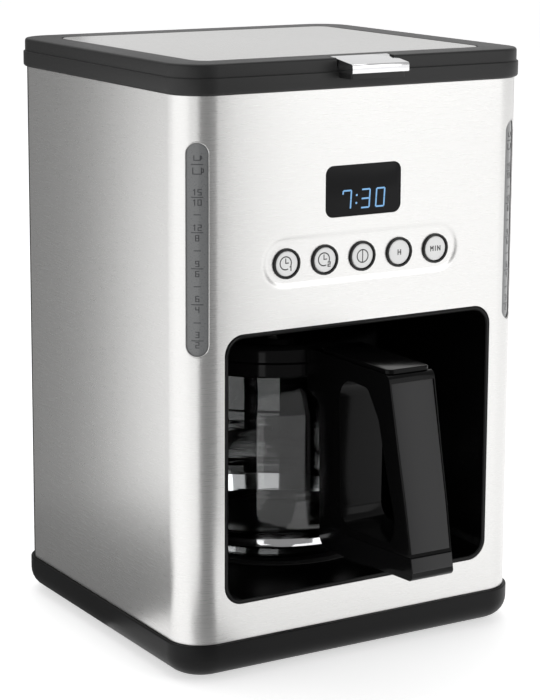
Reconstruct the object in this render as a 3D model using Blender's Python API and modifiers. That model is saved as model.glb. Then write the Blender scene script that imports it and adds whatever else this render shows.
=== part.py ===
# Drip coffee maker: steel housing, glass carafe on a warming plate, water tank, filter and hinged lid.
# Metres, +Z up, front towards -Y. The origin is on the table, at the centre of the housing's plan.
import math

import bmesh
import bpy
from mathutils import Matrix, Vector

# Housing, tray, collar and lid
body_width = 0.226
body_depth = 0.211
body_corner = 0.020
foot_height = 0.002
tray_height = 0.020
housing_height = 0.305
collar_height = 0.0055
lid_height = 0.011
lid_gap = 0.0005
lid_border = 0.020
lid_plate_corner = 0.009
lid_plate_thickness = 0.0014
tray_step = 0.002
lid_step = 0.001
tray_round = 0.012
steel_wall = 0.0008
cut_reach = 0.01   # how far a cutting shape runs past the face it opens
plate_inset = 0.01   # warming plate rim inside the carafe wall
holder_drop = 0.01   # filter holder spout below the niche top
plastic_wall = 0.0025
gap = 0.0003
steel_wrap_angle = math.radians(10)

# Niche for the carafe
niche_width = 0.178
niche_height = 0.1534
niche_sill = 0.0206
niche_corner = 0.0115
liner_wall = 0.0022
liner_flange = 0.004
rear_space = 0.028

# Carafe, lid and handle
carafe_radius = 0.070
carafe_clearance = 0.013
carafe_height = 0.119
glass_wall = 0.0025
neck_step = 0.012
band_wall = 0.005
band_height = 0.009
plate_rise = 0.0015
handle_width = 0.030
handle_taper = 0.10
handle_top = 0.1284
panel_width = 0.028
panel_thickness = 0.0015
handle_edge = 0.0013
carafe_lid_height = 0.0097
lid_pin_radius = 0.0013

# Water tank and its windows
tank_wall = 0.002
tank_clearance = 0.0029
tank_drop = 0.014
window_length = 0.118
window_width = 0.013
window_below_top = 0.024
window_recess = 0.001
window_thickness = 0.0018
window_angle = math.radians(56)

# Filter
holder_radius = 0.062
holder_wall = 0.002
basket_wall = 0.0015
spout_radius = 0.0135
deck_drop = 0.0293
deck_thickness = 0.0024

# Controls
button_count = 5
button_pitch = 0.0248
button_radius = 0.00725
button_ring_radius = 0.0085
button_above_niche = 0.0364
button_travel = 0.0012
button_flange = 0.0006
control_plate = 0.002
button_pad_thickness = 0.001
board_thickness = 0.0016
display_width = 0.050
display_height = 0.0289
display_corner = 0.005
display_above_buttons = 0.03765

# Hinge of the lid
hinge_reach = 0.0055
knuckle_radius = 0.0035
knuckle_length = 0.0135
knuckle_offset = 0.036
pin_radius = 0.0015
pin_clearance = 0.00025

# Tray's bottom cover, screws and feet
cover_inset = 0.0135
cover_thickness = 0.0021
screw_inset = 0.021
screw_radius = 0.0014
screw_head = 0.0032
boss_radius = 0.0045
foot_radius = 0.009
foot_inset = 0.037

# Tab of the lid and the lid's inner cover
tab_width = 0.037
tab_reach = 0.016
tab_depth = 0.0235
cover_drop = 0.0025

# Heater and hoses
heater_tube = 0.0050
heater_loop = 0.042
hose_radius = 0.0048
hose_bend = 0.014
hose_clearance = 0.0004

# Facets: edges along a full turn and along a quarter-round corner
large_steps = 32
middle_steps = 18
ring_steps = 20
small_steps = 12
window_steps = 60
body_segments = 6
corner_segments = 3
fine_segments = 2

# Worked out from the values above
half_width = body_width / 2
half_depth = body_depth / 2
tray_bottom = foot_height
steel_bottom = tray_bottom + tray_height
steel_top = steel_bottom + housing_height
collar_top = steel_top + collar_height
lid_bottom = collar_top + lid_gap
lid_top = lid_bottom + lid_height
front = -half_depth
niche_half = niche_width / 2
niche_bottom = steel_bottom + niche_sill
niche_top = niche_bottom + niche_height
niche_floor = niche_bottom + gap + liner_wall
niche_back = half_depth - plastic_wall - rear_space
brew_y = niche_back - carafe_clearance - carafe_radius
plate_top = niche_floor + plate_rise
carafe_bottom = plate_top + gap
carafe_top = carafe_bottom + carafe_height
neck_radius = carafe_radius - neck_step
band_radius = neck_radius + gap + band_wall
carafe_front = brew_y - carafe_radius
tank_bottom = niche_top - tank_drop
tank_top = steel_top - 0.006
deck_top = steel_top - deck_drop + deck_thickness
hinge_y = half_depth + hinge_reach
hinge_z = lid_bottom
button_z = niche_top + button_above_niche
display_z = button_z + display_above_buttons
control_back = front + steel_wall + gap + control_plate
pad_front = control_back + button_flange + button_travel + 2 * gap
board_front = pad_front + button_pad_thickness + gap
board_back = board_front + board_thickness

colours = {
    "black_gloss": ((0.010, 0.010, 0.011), 0.15, 0.0),
    "black_matte": ((0.030, 0.030, 0.031), 0.50, 0.0),
    "steel": ((0.62, 0.61, 0.60), 0.32, 1.0),
    "chrome": ((0.80, 0.80, 0.80), 0.08, 1.0),
    "glass": ((0.90, 0.92, 0.92), 0.02, 0.0),
    "smoked_clear": ((0.20, 0.20, 0.21), 0.15, 0.0),
    "clear_tank": ((0.60, 0.62, 0.63), 0.20, 0.0),
    "light_grey": ((0.55, 0.55, 0.55), 0.45, 0.0),
    "rubber": ((0.02, 0.02, 0.02), 0.80, 0.0),
    "silicone": ((0.65, 0.65, 0.62), 0.60, 0.0),
    "aluminium": ((0.70, 0.70, 0.71), 0.40, 1.0),
    "circuit_green": ((0.02, 0.14, 0.06), 0.50, 0.0),
    "nonstick": ((0.02, 0.02, 0.02), 0.60, 0.0),
    "display": ((0.012, 0.013, 0.015), 0.10, 0.0),
}


def start():
    for obj in list(bpy.data.objects):
        bpy.data.objects.remove(obj, do_unlink=True)
    for name in ("coffee_maker", "cutters"):
        collection = bpy.data.collections.new(name)
        bpy.context.scene.collection.children.link(collection)
    for name, (colour, roughness, metallic) in colours.items():
        material = bpy.data.materials.new(name)
        material.use_nodes = True
        shader = material.node_tree.nodes["Principled BSDF"]
        shader.inputs["Base Color"].default_value = (*colour, 1.0)
        shader.inputs["Roughness"].default_value = roughness
        shader.inputs["Metallic"].default_value = metallic


def place(name, data, finish):
    """Link a new object: a part in its finish, or a cutter when the finish is None."""
    obj = bpy.data.objects.new(name, data)
    if finish is None:
        bpy.data.collections["cutters"].objects.link(obj)
        obj.hide_render = True
        obj.display_type = "WIRE"
    else:
        bpy.data.collections["coffee_maker"].objects.link(obj)
        obj.data.materials.append(bpy.data.materials[finish])
    return obj


def block(name, low, high, finish=None, corner=0.0, axis=2, segments=corner_segments, under=0.0, over=0.0,
          soft_segments=fine_segments):
    """Box between two points; corner rounds the edges along one axis, under and over its two end faces."""
    low = Vector(low)
    high = Vector(high)
    bm = bmesh.new()
    bmesh.ops.create_cube(bm, size=1.0)
    bmesh.ops.scale(bm, vec=high - low, verts=bm.verts)
    if corner > 0:
        edges = [e for e in bm.edges if abs(e.verts[0].co[axis] - e.verts[1].co[axis]) > 1e-6]
        bmesh.ops.bevel(bm, geom=edges, offset=corner, segments=segments, profile=0.5, affect="EDGES")
        bmesh.ops.remove_doubles(bm, verts=bm.verts, dist=1e-6)
    for sign, radius in ((-1, under), (1, over)):
        if radius > 0:
            bm.normal_update()
            ends = [f for f in bm.faces if f.normal[axis] * sign > 0.99]
            edges = list({e for f in ends for e in f.edges})
            bmesh.ops.bevel(bm, geom=edges, offset=radius, segments=soft_segments, profile=0.5,
                            affect="EDGES")
    mesh = bpy.data.meshes.new(name)
    bm.to_mesh(mesh)
    bm.free()
    obj = place(name, mesh, finish)
    obj.location = (low + high) / 2
    return obj


def body_block(name, offset, low_z, high_z, finish=None, **shape):
    """Block on the housing's outline, grown outwards by offset."""
    x = half_width + offset
    y = half_depth + offset
    corner = max(body_corner + offset, 0.003)
    return block(name, (-x, -y, low_z), (x, y, high_z), finish, corner=corner, segments=body_segments,
                 **shape)


def turned(name, profile, centre, finish=None, steps=large_steps, closed=False, turn=(0, 0, 0)):
    """Solid of revolution about its own Z: profile points are (radius, height), down the outer side."""
    mesh = bpy.data.meshes.new(name)
    edges = [(i, i + 1) for i in range(len(profile) - 1)]
    if closed:
        edges.append((len(profile) - 1, 0))
    mesh.from_pydata([(r, 0.0, z) for r, z in profile], edges, [])
    obj = place(name, mesh, finish)
    obj.location = centre
    obj.rotation_euler = turn
    screw = obj.modifiers.new("turn", "SCREW")
    screw.steps = steps
    screw.render_steps = steps
    screw.use_merge_vertices = True
    screw.merge_threshold = 1e-5
    screw.use_smooth_shade = True
    return obj


def rod(name, radius, start, end, finish=None, steps=small_steps):
    """Cylinder between two points on a line along X, Y or Z."""
    start = Vector(start)
    end = Vector(end)
    half = (end - start).length / 2
    profile = [(0, half), (radius, half), (radius, -half), (0, -half)]
    obj = turned(name, profile, (start + end) / 2, finish, steps)
    obj.rotation_mode = "QUATERNION"
    obj.rotation_quaternion = Vector((0, 0, 1)).rotation_difference(end - start)
    return obj


def rounded(corners, segments=3):
    """Closed outline from (y, z, radius) corners, with an arc at each corner that has a radius."""
    points = []
    count = len(corners)
    for i, (y, z, radius) in enumerate(corners):
        corner = Vector((y, z))
        back = (Vector(corners[i - 1][:2]) - corner).normalized()
        ahead = (Vector(corners[(i + 1) % count][:2]) - corner).normalized()
        half = back.angle(ahead) / 2
        if radius <= 0 or half > math.radians(89):
            points.append(corner)
            continue
        reach = radius / math.tan(half)
        centre = corner + (back + ahead).normalized() * (radius / math.sin(half))
        first = corner + back * reach - centre
        last = corner + ahead * reach - centre
        sweep = first.angle_signed(last)
        for step in range(segments + 1):
            arm = first.copy()
            arm.rotate(Matrix.Rotation(-sweep * step / segments, 2))
            points.append(centre + arm)
    return points


def prism(name, outlines, half_length, finish=None, centre_x=0.0):
    """Outlines in the YZ plane, the second and later ones holes, drawn out along X."""
    curve = bpy.data.curves.new(name, "CURVE")
    curve.dimensions = "2D"
    curve.fill_mode = "BOTH"
    curve.extrude = half_length
    for outline in outlines:
        spline = curve.splines.new("POLY")
        spline.points.add(len(outline) - 1)
        for point, (y, z) in zip(spline.points, outline):
            point.co = (y, z, 0.0, 1.0)
        spline.use_cyclic_u = True
    flat = bpy.data.objects.new(name + "_flat", curve)
    bpy.context.scene.collection.objects.link(flat)
    flat.rotation_euler = (math.pi / 2, 0.0, math.pi / 2)
    flat.location = (centre_x, 0.0, 0.0)
    obj = place(name, mesh_of(flat), finish)
    obj.rotation_euler = (math.pi / 2, 0.0, math.pi / 2)
    obj.location = (centre_x, 0.0, 0.0)
    bpy.data.objects.remove(flat, do_unlink=True)
    return obj


def mesh_of(curve_object):
    """The evaluated curve as a welded mesh."""
    depsgraph = bpy.context.evaluated_depsgraph_get()
    mesh = bpy.data.meshes.new_from_object(curve_object.evaluated_get(depsgraph))
    mesh.materials.clear()
    bm = bmesh.new()
    bm.from_mesh(mesh)
    bmesh.ops.remove_doubles(bm, verts=bm.verts, dist=1e-6)
    bmesh.ops.recalc_face_normals(bm, faces=bm.faces)
    bm.to_mesh(mesh)
    bm.free()
    return mesh


def tube(name, points, radius, finish, resolution=2):
    """Round tube or wire along a list of points."""
    curve = bpy.data.curves.new(name, "CURVE")
    curve.dimensions = "3D"
    curve.bevel_depth = radius
    curve.bevel_resolution = resolution
    curve.use_fill_caps = True
    spline = curve.splines.new("POLY")
    spline.points.add(len(points) - 1)
    for point, position in zip(spline.points, points):
        point.co = (*position, 1.0)
    return place(name, curve, finish)


def bent_up(x, start_y, corner_y, low, high, radius, steps=6):
    """Points back along Y at the lower height, round a quarter bend and straight up."""
    path = [(x, start_y, low)]
    for i in range(steps + 1):
        angle = math.pi / 2 * (i / steps - 1)
        path.append((x, corner_y - radius + radius * math.cos(angle),
                     low + radius + radius * math.sin(angle)))
    path.append((x, corner_y, high))
    return path


def combine(obj, *others, how="DIFFERENCE"):
    for other in others:
        modifier = obj.modifiers.new(other.name, "BOOLEAN")
        modifier.operation = how
        modifier.object = other
    return obj


def cut(obj, *cutters):
    return combine(obj, *cutters)


def join(obj, *pieces):
    return combine(obj, *pieces, how="UNION")


def use_manifold(obj):
    for modifier in obj.modifiers:
        modifier.solver = "MANIFOLD"


def soften(obj, width, segments=2):
    bevel = obj.modifiers.new("soften", "BEVEL")
    bevel.width = width
    bevel.segments = segments
    bevel.limit_method = "ANGLE"
    bevel.angle_limit = math.radians(40)
    return obj


def hang(pivot, *pieces):
    """Parent pieces to an empty on their joint's axis."""
    for piece in pieces:
        piece.parent = pivot
        piece.location -= pivot.location


def pivot_at(name, position):
    pivot = bpy.data.objects.new(name, None)
    bpy.data.collections["coffee_maker"].objects.link(pivot)
    pivot.location = position
    return pivot


def corner_points(x, y):
    return [(sx * x, sy * y) for sy in (-1, 1) for sx in (-1, 1)]


def screw_points():
    inset = screw_inset - tray_step
    return corner_points(half_width - inset, half_depth - inset)


def make_base():
    top = steel_bottom - gap
    tray = body_block("base_tray", tray_step, tray_bottom, top, "black_gloss", under=tray_round)
    hollow = body_block("tray_hollow", tray_step - 0.007, 0.007, 0.016)
    for i, (x, y) in enumerate(screw_points()):
        cut(hollow, rod(f"tray_boss_{i}", boss_radius, (x, y, 0.0), (x, y, 0.020)))
    cut(tray, hollow)
    cut(tray, body_block("tray_cover_recess", tray_step - cover_inset, -0.01,
                         tray_bottom + cover_thickness + gap))
    cut(tray, body_block("tray_bottom_opening", tray_step - 0.027, -0.01, 0.0085))
    cut(tray, body_block("tray_top_opening", tray_step - 0.015, 0.0155, 0.03))
    cover = body_block("bottom_cover", tray_step - cover_inset - gap, tray_bottom,
                       tray_bottom + cover_thickness,
                       "black_matte")
    slot_count = 7
    for i in range(slot_count):
        x = (i - (slot_count - 1) / 2) * 0.012
        cut(cover, block(f"cover_slot_{i}", (x - 0.0025, 0.045, -0.01), (x + 0.0025, 0.075, 0.01),
                         corner=0.0024))
    names = ("front_left", "front_right", "rear_left", "rear_right")
    for i, (name, (x, y)) in enumerate(zip(names, screw_points())):
        head_z = tray_bottom + 0.0002
        seat = head_z + 0.0013
        cut(cover, rod(f"cover_hole_{i}", screw_radius + gap, (x, y, -0.01), (x, y, 0.01)),
            rod(f"cover_counterbore_{i}", screw_head + gap, (x, y, -0.01), (x, y, seat)))
        cut(tray, rod(f"tray_pilot_{i}", screw_radius + 0.00015, (x, y, 0.0), (x, y, 0.0125)))
        profile = [(0, 0.0095), (0.0008, 0.0095), (screw_radius, 0.0085), (screw_radius, 0.0011),
                   (screw_head, 0.0011), (screw_head, 0.0003), (0.0026, 0), (0, 0)]
        turned(f"base_screw_{name}", profile, (x, y, head_z), "chrome", steps=small_steps)
    for name, (x, y) in zip(names, corner_points(half_width - foot_inset, half_depth - foot_inset)):
        profile = [(0, foot_height - gap), (foot_radius, foot_height - gap), (foot_radius, 0.0006),
                   (foot_radius - 0.0008, 0), (0, 0)]
        turned(f"rubber_foot_{name}", profile, (x, y, 0), "rubber", steps=middle_steps)


def window_centre(side):
    """Vertical axis of a front corner's rounding."""
    return Vector((side * (half_width - body_corner), front + body_corner, steel_top - window_below_top
                   - window_length / 2))


def window_outward(side):
    return Vector((side * math.cos(window_angle), -math.sin(window_angle), 0))


def window_prism(name, side, shrink=0.0):
    """Tall bar with round ends that points out through a front corner."""
    half = window_width / 2 - shrink
    tall = window_length / 2 - shrink
    bar = block(name, (-0.006, -half, -tall), (0.006, half, tall), corner=half * 0.999, axis=0)
    outward = window_outward(side)
    bar.location = window_centre(side) + outward * body_corner
    bar.rotation_euler = (0, 0, math.atan2(outward.y, outward.x))
    return bar


def button_x(index):
    return (index - (button_count - 1) / 2) * button_pitch


def make_housing():
    wrap_end = half_depth - body_corner + body_corner * math.sin(steel_wrap_angle)
    housing = body_block("steel_housing", 0.0, steel_bottom, steel_top, "steel")
    cut(housing, body_block("housing_inside", -steel_wall, steel_bottom - cut_reach, steel_top + cut_reach))
    cut(housing, block("housing_back_cut", (-0.5, wrap_end, 0.0), (0.5, half_depth + 0.05, 0.5)))
    cut(housing, block("niche_cut", (-niche_half, front - cut_reach, niche_bottom),
                       (niche_half, front + cut_reach, niche_top),
                       corner=niche_corner, axis=1))
    cut(housing,
        block("display_cut", (-display_width / 2, front - cut_reach, display_z - display_height / 2),
                       (display_width / 2, front + cut_reach, display_z + display_height / 2),
                       corner=display_corner, axis=1))
    for i in range(button_count):
        x = button_x(i)
        cut(housing, rod(f"button_cut_{i}", button_ring_radius + gap / 2, (x, front - cut_reach, button_z),
                         (x, front + 0.005, button_z), steps=ring_steps))
    for side, name in ((-1, "left"), (1, "right")):
        cut(housing, window_prism(f"window_cut_{name}", side))
        make_window(name, side)
    make_rear_cover(wrap_end + gap)


def make_window(name, side):
    axis = window_centre(side)
    outer = body_corner - window_recess
    inner = outer - window_thickness
    tall = window_length / 2
    profile = [(inner, tall), (outer, tall), (outer, -tall), (inner, -tall)]
    window = turned(f"water_window_{name}", profile, axis, "smoked_clear", steps=window_steps, closed=True)
    combine(window, window_prism(f"window_shape_{name}", side, shrink=gap), how="INTERSECT")


def make_rear_cover(joint_y):
    low = steel_bottom
    cover = body_block("rear_cover", 0.0, low, steel_top, "black_matte")
    cut(cover, body_block("rear_inside", -plastic_wall, low - cut_reach, steel_top + cut_reach))
    cut(cover, block("rear_front_cut", (-0.5, -0.5, 0), (0.5, joint_y - 0.008, 0.5)))
    skin = block("rear_lip_skin", (-0.5, -0.5, 0), (0.5, joint_y, 0.5))
    cut(skin, body_block("rear_lip_keep", -steel_wall - gap, 0.0, 0.45))
    cut(cover, skin)
    slot_count = 6
    for i in range(slot_count):
        z = steel_bottom + 0.045 + i * 0.009
        cut(cover, block(f"rear_slot_{i}", (-0.030, half_depth - cut_reach, z - 0.002),
                         (0.030, half_depth + cut_reach, z + 0.002),
                         corner=0.0019, axis=1))
    gland = Vector((-half_width + 0.045, half_depth, steel_bottom + 0.012))
    cut(cover, rod("gland_cut", 0.0068, gland - Vector((0, 0.01, 0)), gland + Vector((0, 0.01, 0)),
                   steps=middle_steps))
    profile = [(0.0036, 0.0045), (0.0060, 0.0045), (0.0090, 0.0022), (0.0090, gap), (0.0065, gap),
               (0.0065, -plastic_wall - 0.002), (0.0036, -plastic_wall - 0.002)]
    turned("cord_gland", profile, gland, "rubber", steps=middle_steps, closed=True,
           turn=(-math.pi / 2, 0, 0))


def make_liner():
    outer_x = niche_half - gap
    low = niche_bottom + gap
    high = niche_top - gap
    back = niche_back + liner_wall
    liner = block("niche_liner", (-outer_x, front + gap, low), (outer_x, back, high), "black_gloss",
                  corner=niche_corner - gap, axis=1)
    flange_y = front + steel_wall + gap
    flange = block("liner_flange", (-outer_x - liner_flange, flange_y, low - liner_flange),
                   (outer_x + liner_flange, flange_y + 0.0015, high + liner_flange),
                   corner=niche_corner, axis=1)
    join(liner, flange)
    cut(liner, block("liner_inside", (-outer_x + liner_wall, front - 0.05, niche_floor),
                     (outer_x - liner_wall, niche_back, high - liner_wall),
                     corner=niche_corner - gap - liner_wall, axis=1))
    cut(liner, rod("liner_plate_hole", carafe_radius - 0.0085, (0, brew_y, low - cut_reach),
                   (0, brew_y, niche_floor + cut_reach),
                   steps=large_steps))
    cut(liner, rod("liner_spout_hole", spout_radius + 0.002, (0, brew_y, high - cut_reach),
                   (0, brew_y, high + cut_reach),
                   steps=middle_steps))


def make_collar():
    collar = body_block("top_collar", tray_step, steel_top + gap, collar_top, "black_gloss", under=0.0015)
    lip = body_block("collar_lip", -steel_wall - gap - 0.003, tank_top + 0.001, steel_top + 0.001)
    join(collar, lip)
    arm_low = hinge_z - knuckle_radius - 0.0015
    for side in (-1, 1):
        first = side * (knuckle_offset + knuckle_length + gap)
        last = side * (knuckle_offset + 2 * knuckle_length)
        low_x = min(first, last)
        high_x = max(first, last)
        arm = block(f"collar_arm_{side}", (low_x, half_depth, arm_low),
                    (high_x, hinge_y, hinge_z - gap - lid_gap))
        knuckle = rod(f"collar_knuckle_{side}", knuckle_radius, (low_x, hinge_y, hinge_z),
                      (high_x, hinge_y, hinge_z),
                      steps=middle_steps)
        hole = rod(f"collar_pin_hole_{side}", pin_radius + pin_clearance,
                   (low_x - cut_reach, hinge_y, hinge_z),
                   (high_x + cut_reach, hinge_y, hinge_z))
        join(collar, arm, knuckle)
        cut(collar, hole)
    cut(collar, body_block("collar_inside", -0.008, steel_top - 0.05, collar_top + cut_reach))
    use_manifold(collar)


def make_lid():
    pivot = pivot_at("lid_hinge", (0, hinge_y, hinge_z))
    frame = body_block("lid_frame", lid_step, lid_bottom, lid_top, "black_gloss", over=0.0015,
                       under=0.001)
    roof = 0.0045
    cavity_x = half_width - 0.013
    cavity_y = half_depth - 0.0135
    cut(frame, block("lid_cavity", (-cavity_x, -cavity_y, lid_bottom - cut_reach),
                     (cavity_x, cavity_y, lid_top - roof),
                     corner=0.008))
    plate_x = half_width + lid_step - lid_border + 0.0005
    plate_y = half_depth + lid_step - lid_border
    plate_low = lid_top - lid_plate_thickness
    cut(frame, block("lid_plate_recess", (-plate_x, -plate_y, plate_low - gap),
                     (plate_x, plate_y, lid_top + cut_reach),
                     corner=lid_plate_corner))
    frame_front = front - lid_step
    tab_back = frame_front - tab_reach + tab_depth + 0.001
    tab_seat = lid_top - 0.0050
    tongue = block("lid_tongue", (-tab_width / 2 + 0.001, frame_front - tab_reach + 0.003, lid_bottom),
                   (tab_width / 2 - 0.001, frame_front + 0.004, lid_bottom + 0.003))
    join(frame, tongue)
    cut(frame, block("lid_tab_notch", (-tab_width / 2 - gap, frame_front - 0.001, tab_seat),
                     (tab_width / 2 + gap, tab_back + gap, lid_top + cut_reach)))
    for side in (-1, 1):
        near = side * knuckle_offset
        far = side * (knuckle_offset + knuckle_length)
        low_x = min(near, far)
        high_x = max(near, far)
        join(frame, block(f"lid_arm_{side}", (low_x, half_depth - 0.002, hinge_z + 0.0002),
                          (high_x, hinge_y, hinge_z + knuckle_radius)))
        join(frame, rod(f"lid_knuckle_{side}", knuckle_radius, (low_x, hinge_y, hinge_z),
                        (high_x, hinge_y, hinge_z),
                        steps=middle_steps))
        cut(frame, rod(f"lid_pin_hole_{side}", pin_radius + pin_clearance,
                       (low_x - cut_reach, hinge_y, hinge_z),
                       (high_x + cut_reach, hinge_y, hinge_z)))
    use_manifold(frame)
    plate = block("lid_plate", (-plate_x + gap, -plate_y + gap, plate_low),
                  (plate_x - gap, plate_y - gap, lid_top),
                  "steel", corner=lid_plate_corner - gap, over=0.0004)
    tip = frame_front - tab_reach + 0.001
    outline = [(tab_back, lid_top + 0.0006, 0.001), (tab_back, tab_seat + gap, 0),
               (frame_front - 0.0004, tab_seat + gap, 0), (frame_front - 0.0004, lid_bottom + 0.0033, 0),
               (tip, lid_bottom + 0.0033, 0.001), (tip, lid_top - 0.0027, 0.0015)]
    tab = prism("lid_tab", [rounded(outline, 3)], tab_width / 2, "chrome")
    soften(tab, 0.0005, 2)
    cover_x = cavity_x - 0.0005
    cover_y = cavity_y - 0.0005
    cover_low = lid_bottom - cover_drop
    cover = block("lid_inner_cover", (-cover_x, -cover_y, cover_low),
                  (cover_x, cover_y, lid_top - roof - gap),
                  "black_matte", corner=0.0075, under=0.001)
    cut(cover, block("lid_cover_hollow", (-cover_x + 0.002, -cover_y + 0.002, cover_low + 0.002),
                     (cover_x - 0.002, cover_y - 0.002, lid_top), corner=0.0055))
    riser_x, riser_y = riser_place()
    cut(cover, rod("lid_inlet_hole", 0.0045, (riser_x, riser_y, cover_low - cut_reach),
                   (riser_x, riser_y, cover_low + cut_reach),
                   steps=middle_steps))
    cut(cover, rod("lid_outlet_hole", 0.006, (0, brew_y, cover_low - cut_reach),
                   (0, brew_y, cover_low + cut_reach),
                   steps=middle_steps))
    shower = make_shower_head(cover_low - gap)
    hang(pivot, frame, plate, tab, cover, shower)
    for side, name in ((-1, "left"), (1, "right")):
        near = side * (knuckle_offset + 0.0005)
        far = side * (knuckle_offset + 2 * knuckle_length - 0.0005)
        rod(f"hinge_pin_{name}", pin_radius, (min(near, far), hinge_y, hinge_z),
            (max(near, far), hinge_y, hinge_z),
            "chrome")


def make_shower_head(top):
    outer = 0.040
    profile = [(0.0055, 0), (0.014, 0), (0.018, -0.006), (outer, -0.010), (outer, -0.014),
               (outer - 0.0015, -0.014),
               (outer - 0.0015, -0.0115), (0.012, -0.008), (0.0055, -0.008)]
    shower = turned("shower_head", profile, (0, brew_y, top), "black_matte", steps=middle_steps,
                    closed=True)
    hole_count = 6
    shower_hole_steps = 6
    for i in range(hole_count):
        angle = math.tau * i / hole_count
        x = 0.027 * math.cos(angle)
        y = brew_y + 0.027 * math.sin(angle)
        cut(shower, rod(f"shower_hole_{i}", 0.0015, (x, y, top - 0.03), (x, y, top + 0.001),
                        steps=shower_hole_steps))
    return shower


def riser_place():
    return 0.030, niche_back + liner_wall + 0.0155


def make_tank():
    outset = -tank_clearance
    well_x = holder_radius + 0.0065
    well_y = brew_y + holder_radius + 0.0065
    side_x = niche_half + 0.0018
    back_y = niche_back + liner_wall + 0.002
    shelf = niche_top + 0.002
    riser_x, riser_y = riser_place()
    channel = 0.0085
    tank = body_block("water_tank", outset, tank_bottom, tank_top, "clear_tank")
    inside = body_block("tank_inside", outset - tank_wall, tank_bottom + tank_wall, tank_top + cut_reach)
    for label, solid, wall in (("outer", tank, 0.0), ("inner", inside, tank_wall)):
        cut(solid, block(f"tank_well_{label}", (-well_x - wall, -0.5, 0.0),
                         (well_x + wall, well_y + wall, 0.6)))
        cut(solid, block(f"tank_shelf_{label}", (-side_x - wall, -0.5, 0.0),
                         (side_x + wall, back_y + wall, shelf + wall)))
        cut(solid, block(f"tank_channel_{label}", (riser_x - channel - wall, riser_y - channel - wall, 0.0),
                         (riser_x + channel + wall, 0.5, 0.6)))
    cut(tank, inside)
    cut(tank, rod("tank_outlet", 0.004, (-riser_x, riser_y, tank_bottom - cut_reach),
                  (-riser_x, riser_y, tank_bottom + cut_reach),
                  steps=middle_steps))
    deck_y = board_back + gap
    deck = block("filter_deck", (-well_x + 0.0005, deck_y, deck_top - deck_thickness),
                 (well_x - 0.0005, well_y - 0.0005, deck_top), "black_matte", corner=0.003)
    cut(deck, rod("deck_hole", holder_radius + 0.0005, (0, brew_y, deck_top - 0.02),
                  (0, brew_y, deck_top + 0.02),
                  steps=large_steps))


def make_heater():
    plate_low = niche_bottom + gap + 0.0001
    rim = carafe_radius - plate_inset
    profile = [(0, plate_top), (rim, plate_top), (rim, plate_top - 0.0013),
               (rim - 0.003, plate_top - 0.0014),
               (rim - 0.003, plate_low), (0, plate_low)]
    turned("warming_plate", profile, (0, brew_y, 0), "nonstick", steps=large_steps)
    seal_low = niche_floor + gap
    profile = [(rim + gap, plate_top - 0.0001), (rim + 0.004, seal_low + 0.0006), (rim + 0.004, seal_low),
               (rim + gap, seal_low)]
    turned("plate_gasket", profile, (0, brew_y, 0), "silicone", closed=True)
    z = plate_low - 0.0004 - heater_tube
    end_y = niche_back - 0.009
    riser_x = riser_place()[0]
    arc_start = math.asin(riser_x / heater_loop)
    arc_points = 12
    sweep = math.tau - 2 * arc_start
    path = [(-riser_x, end_y, z)]
    for i in range(arc_points + 1):
        angle = math.pi / 2 + arc_start + sweep * i / arc_points
        path.append((heater_loop * math.cos(angle), brew_y + heater_loop * math.sin(angle), z))
    path.append((riser_x, end_y, z))
    tube("heater_tube", path, heater_tube, "aluminium", resolution=3)
    below = z - heater_tube - gap
    profile = [(0, 0), (0.008, 0), (0.008, -0.004), (0.006, -0.005), (0.006, -0.009), (0, -0.009)]
    turned("thermostat", profile, (0, brew_y - heater_loop, below), "aluminium", steps=middle_steps)
    fuse_x = -heater_loop
    rod("thermal_fuse", 0.002, (fuse_x, brew_y - 0.008, below - 0.002),
        (fuse_x, brew_y + 0.008, below - 0.002),
        "light_grey")
    make_hoses(z, end_y)


def make_hoses(z, end_y):
    riser_x, riser_y = riser_place()
    valve_top = tank_bottom - gap
    valve_low = valve_top - 0.012
    profile = [(0, 0), (0.0065, 0), (0.0065, -0.004), (0.0075, -0.0055), (0.0075, -0.0105),
               (0.006, -0.012), (0, -0.012)]
    turned("check_valve", profile, (-riser_x, riser_y, valve_top), "light_grey", steps=middle_steps)
    start_y = end_y + hose_clearance
    inlet = bent_up(-riser_x, start_y, riser_y, z, valve_low - gap, hose_bend)
    tube("inlet_hose", inlet, hose_radius, "silicone")
    riser = bent_up(riser_x, start_y, riser_y, z, lid_bottom - cover_drop - gap, hose_bend)
    tube("riser_tube", riser, hose_radius, "silicone")


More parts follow.
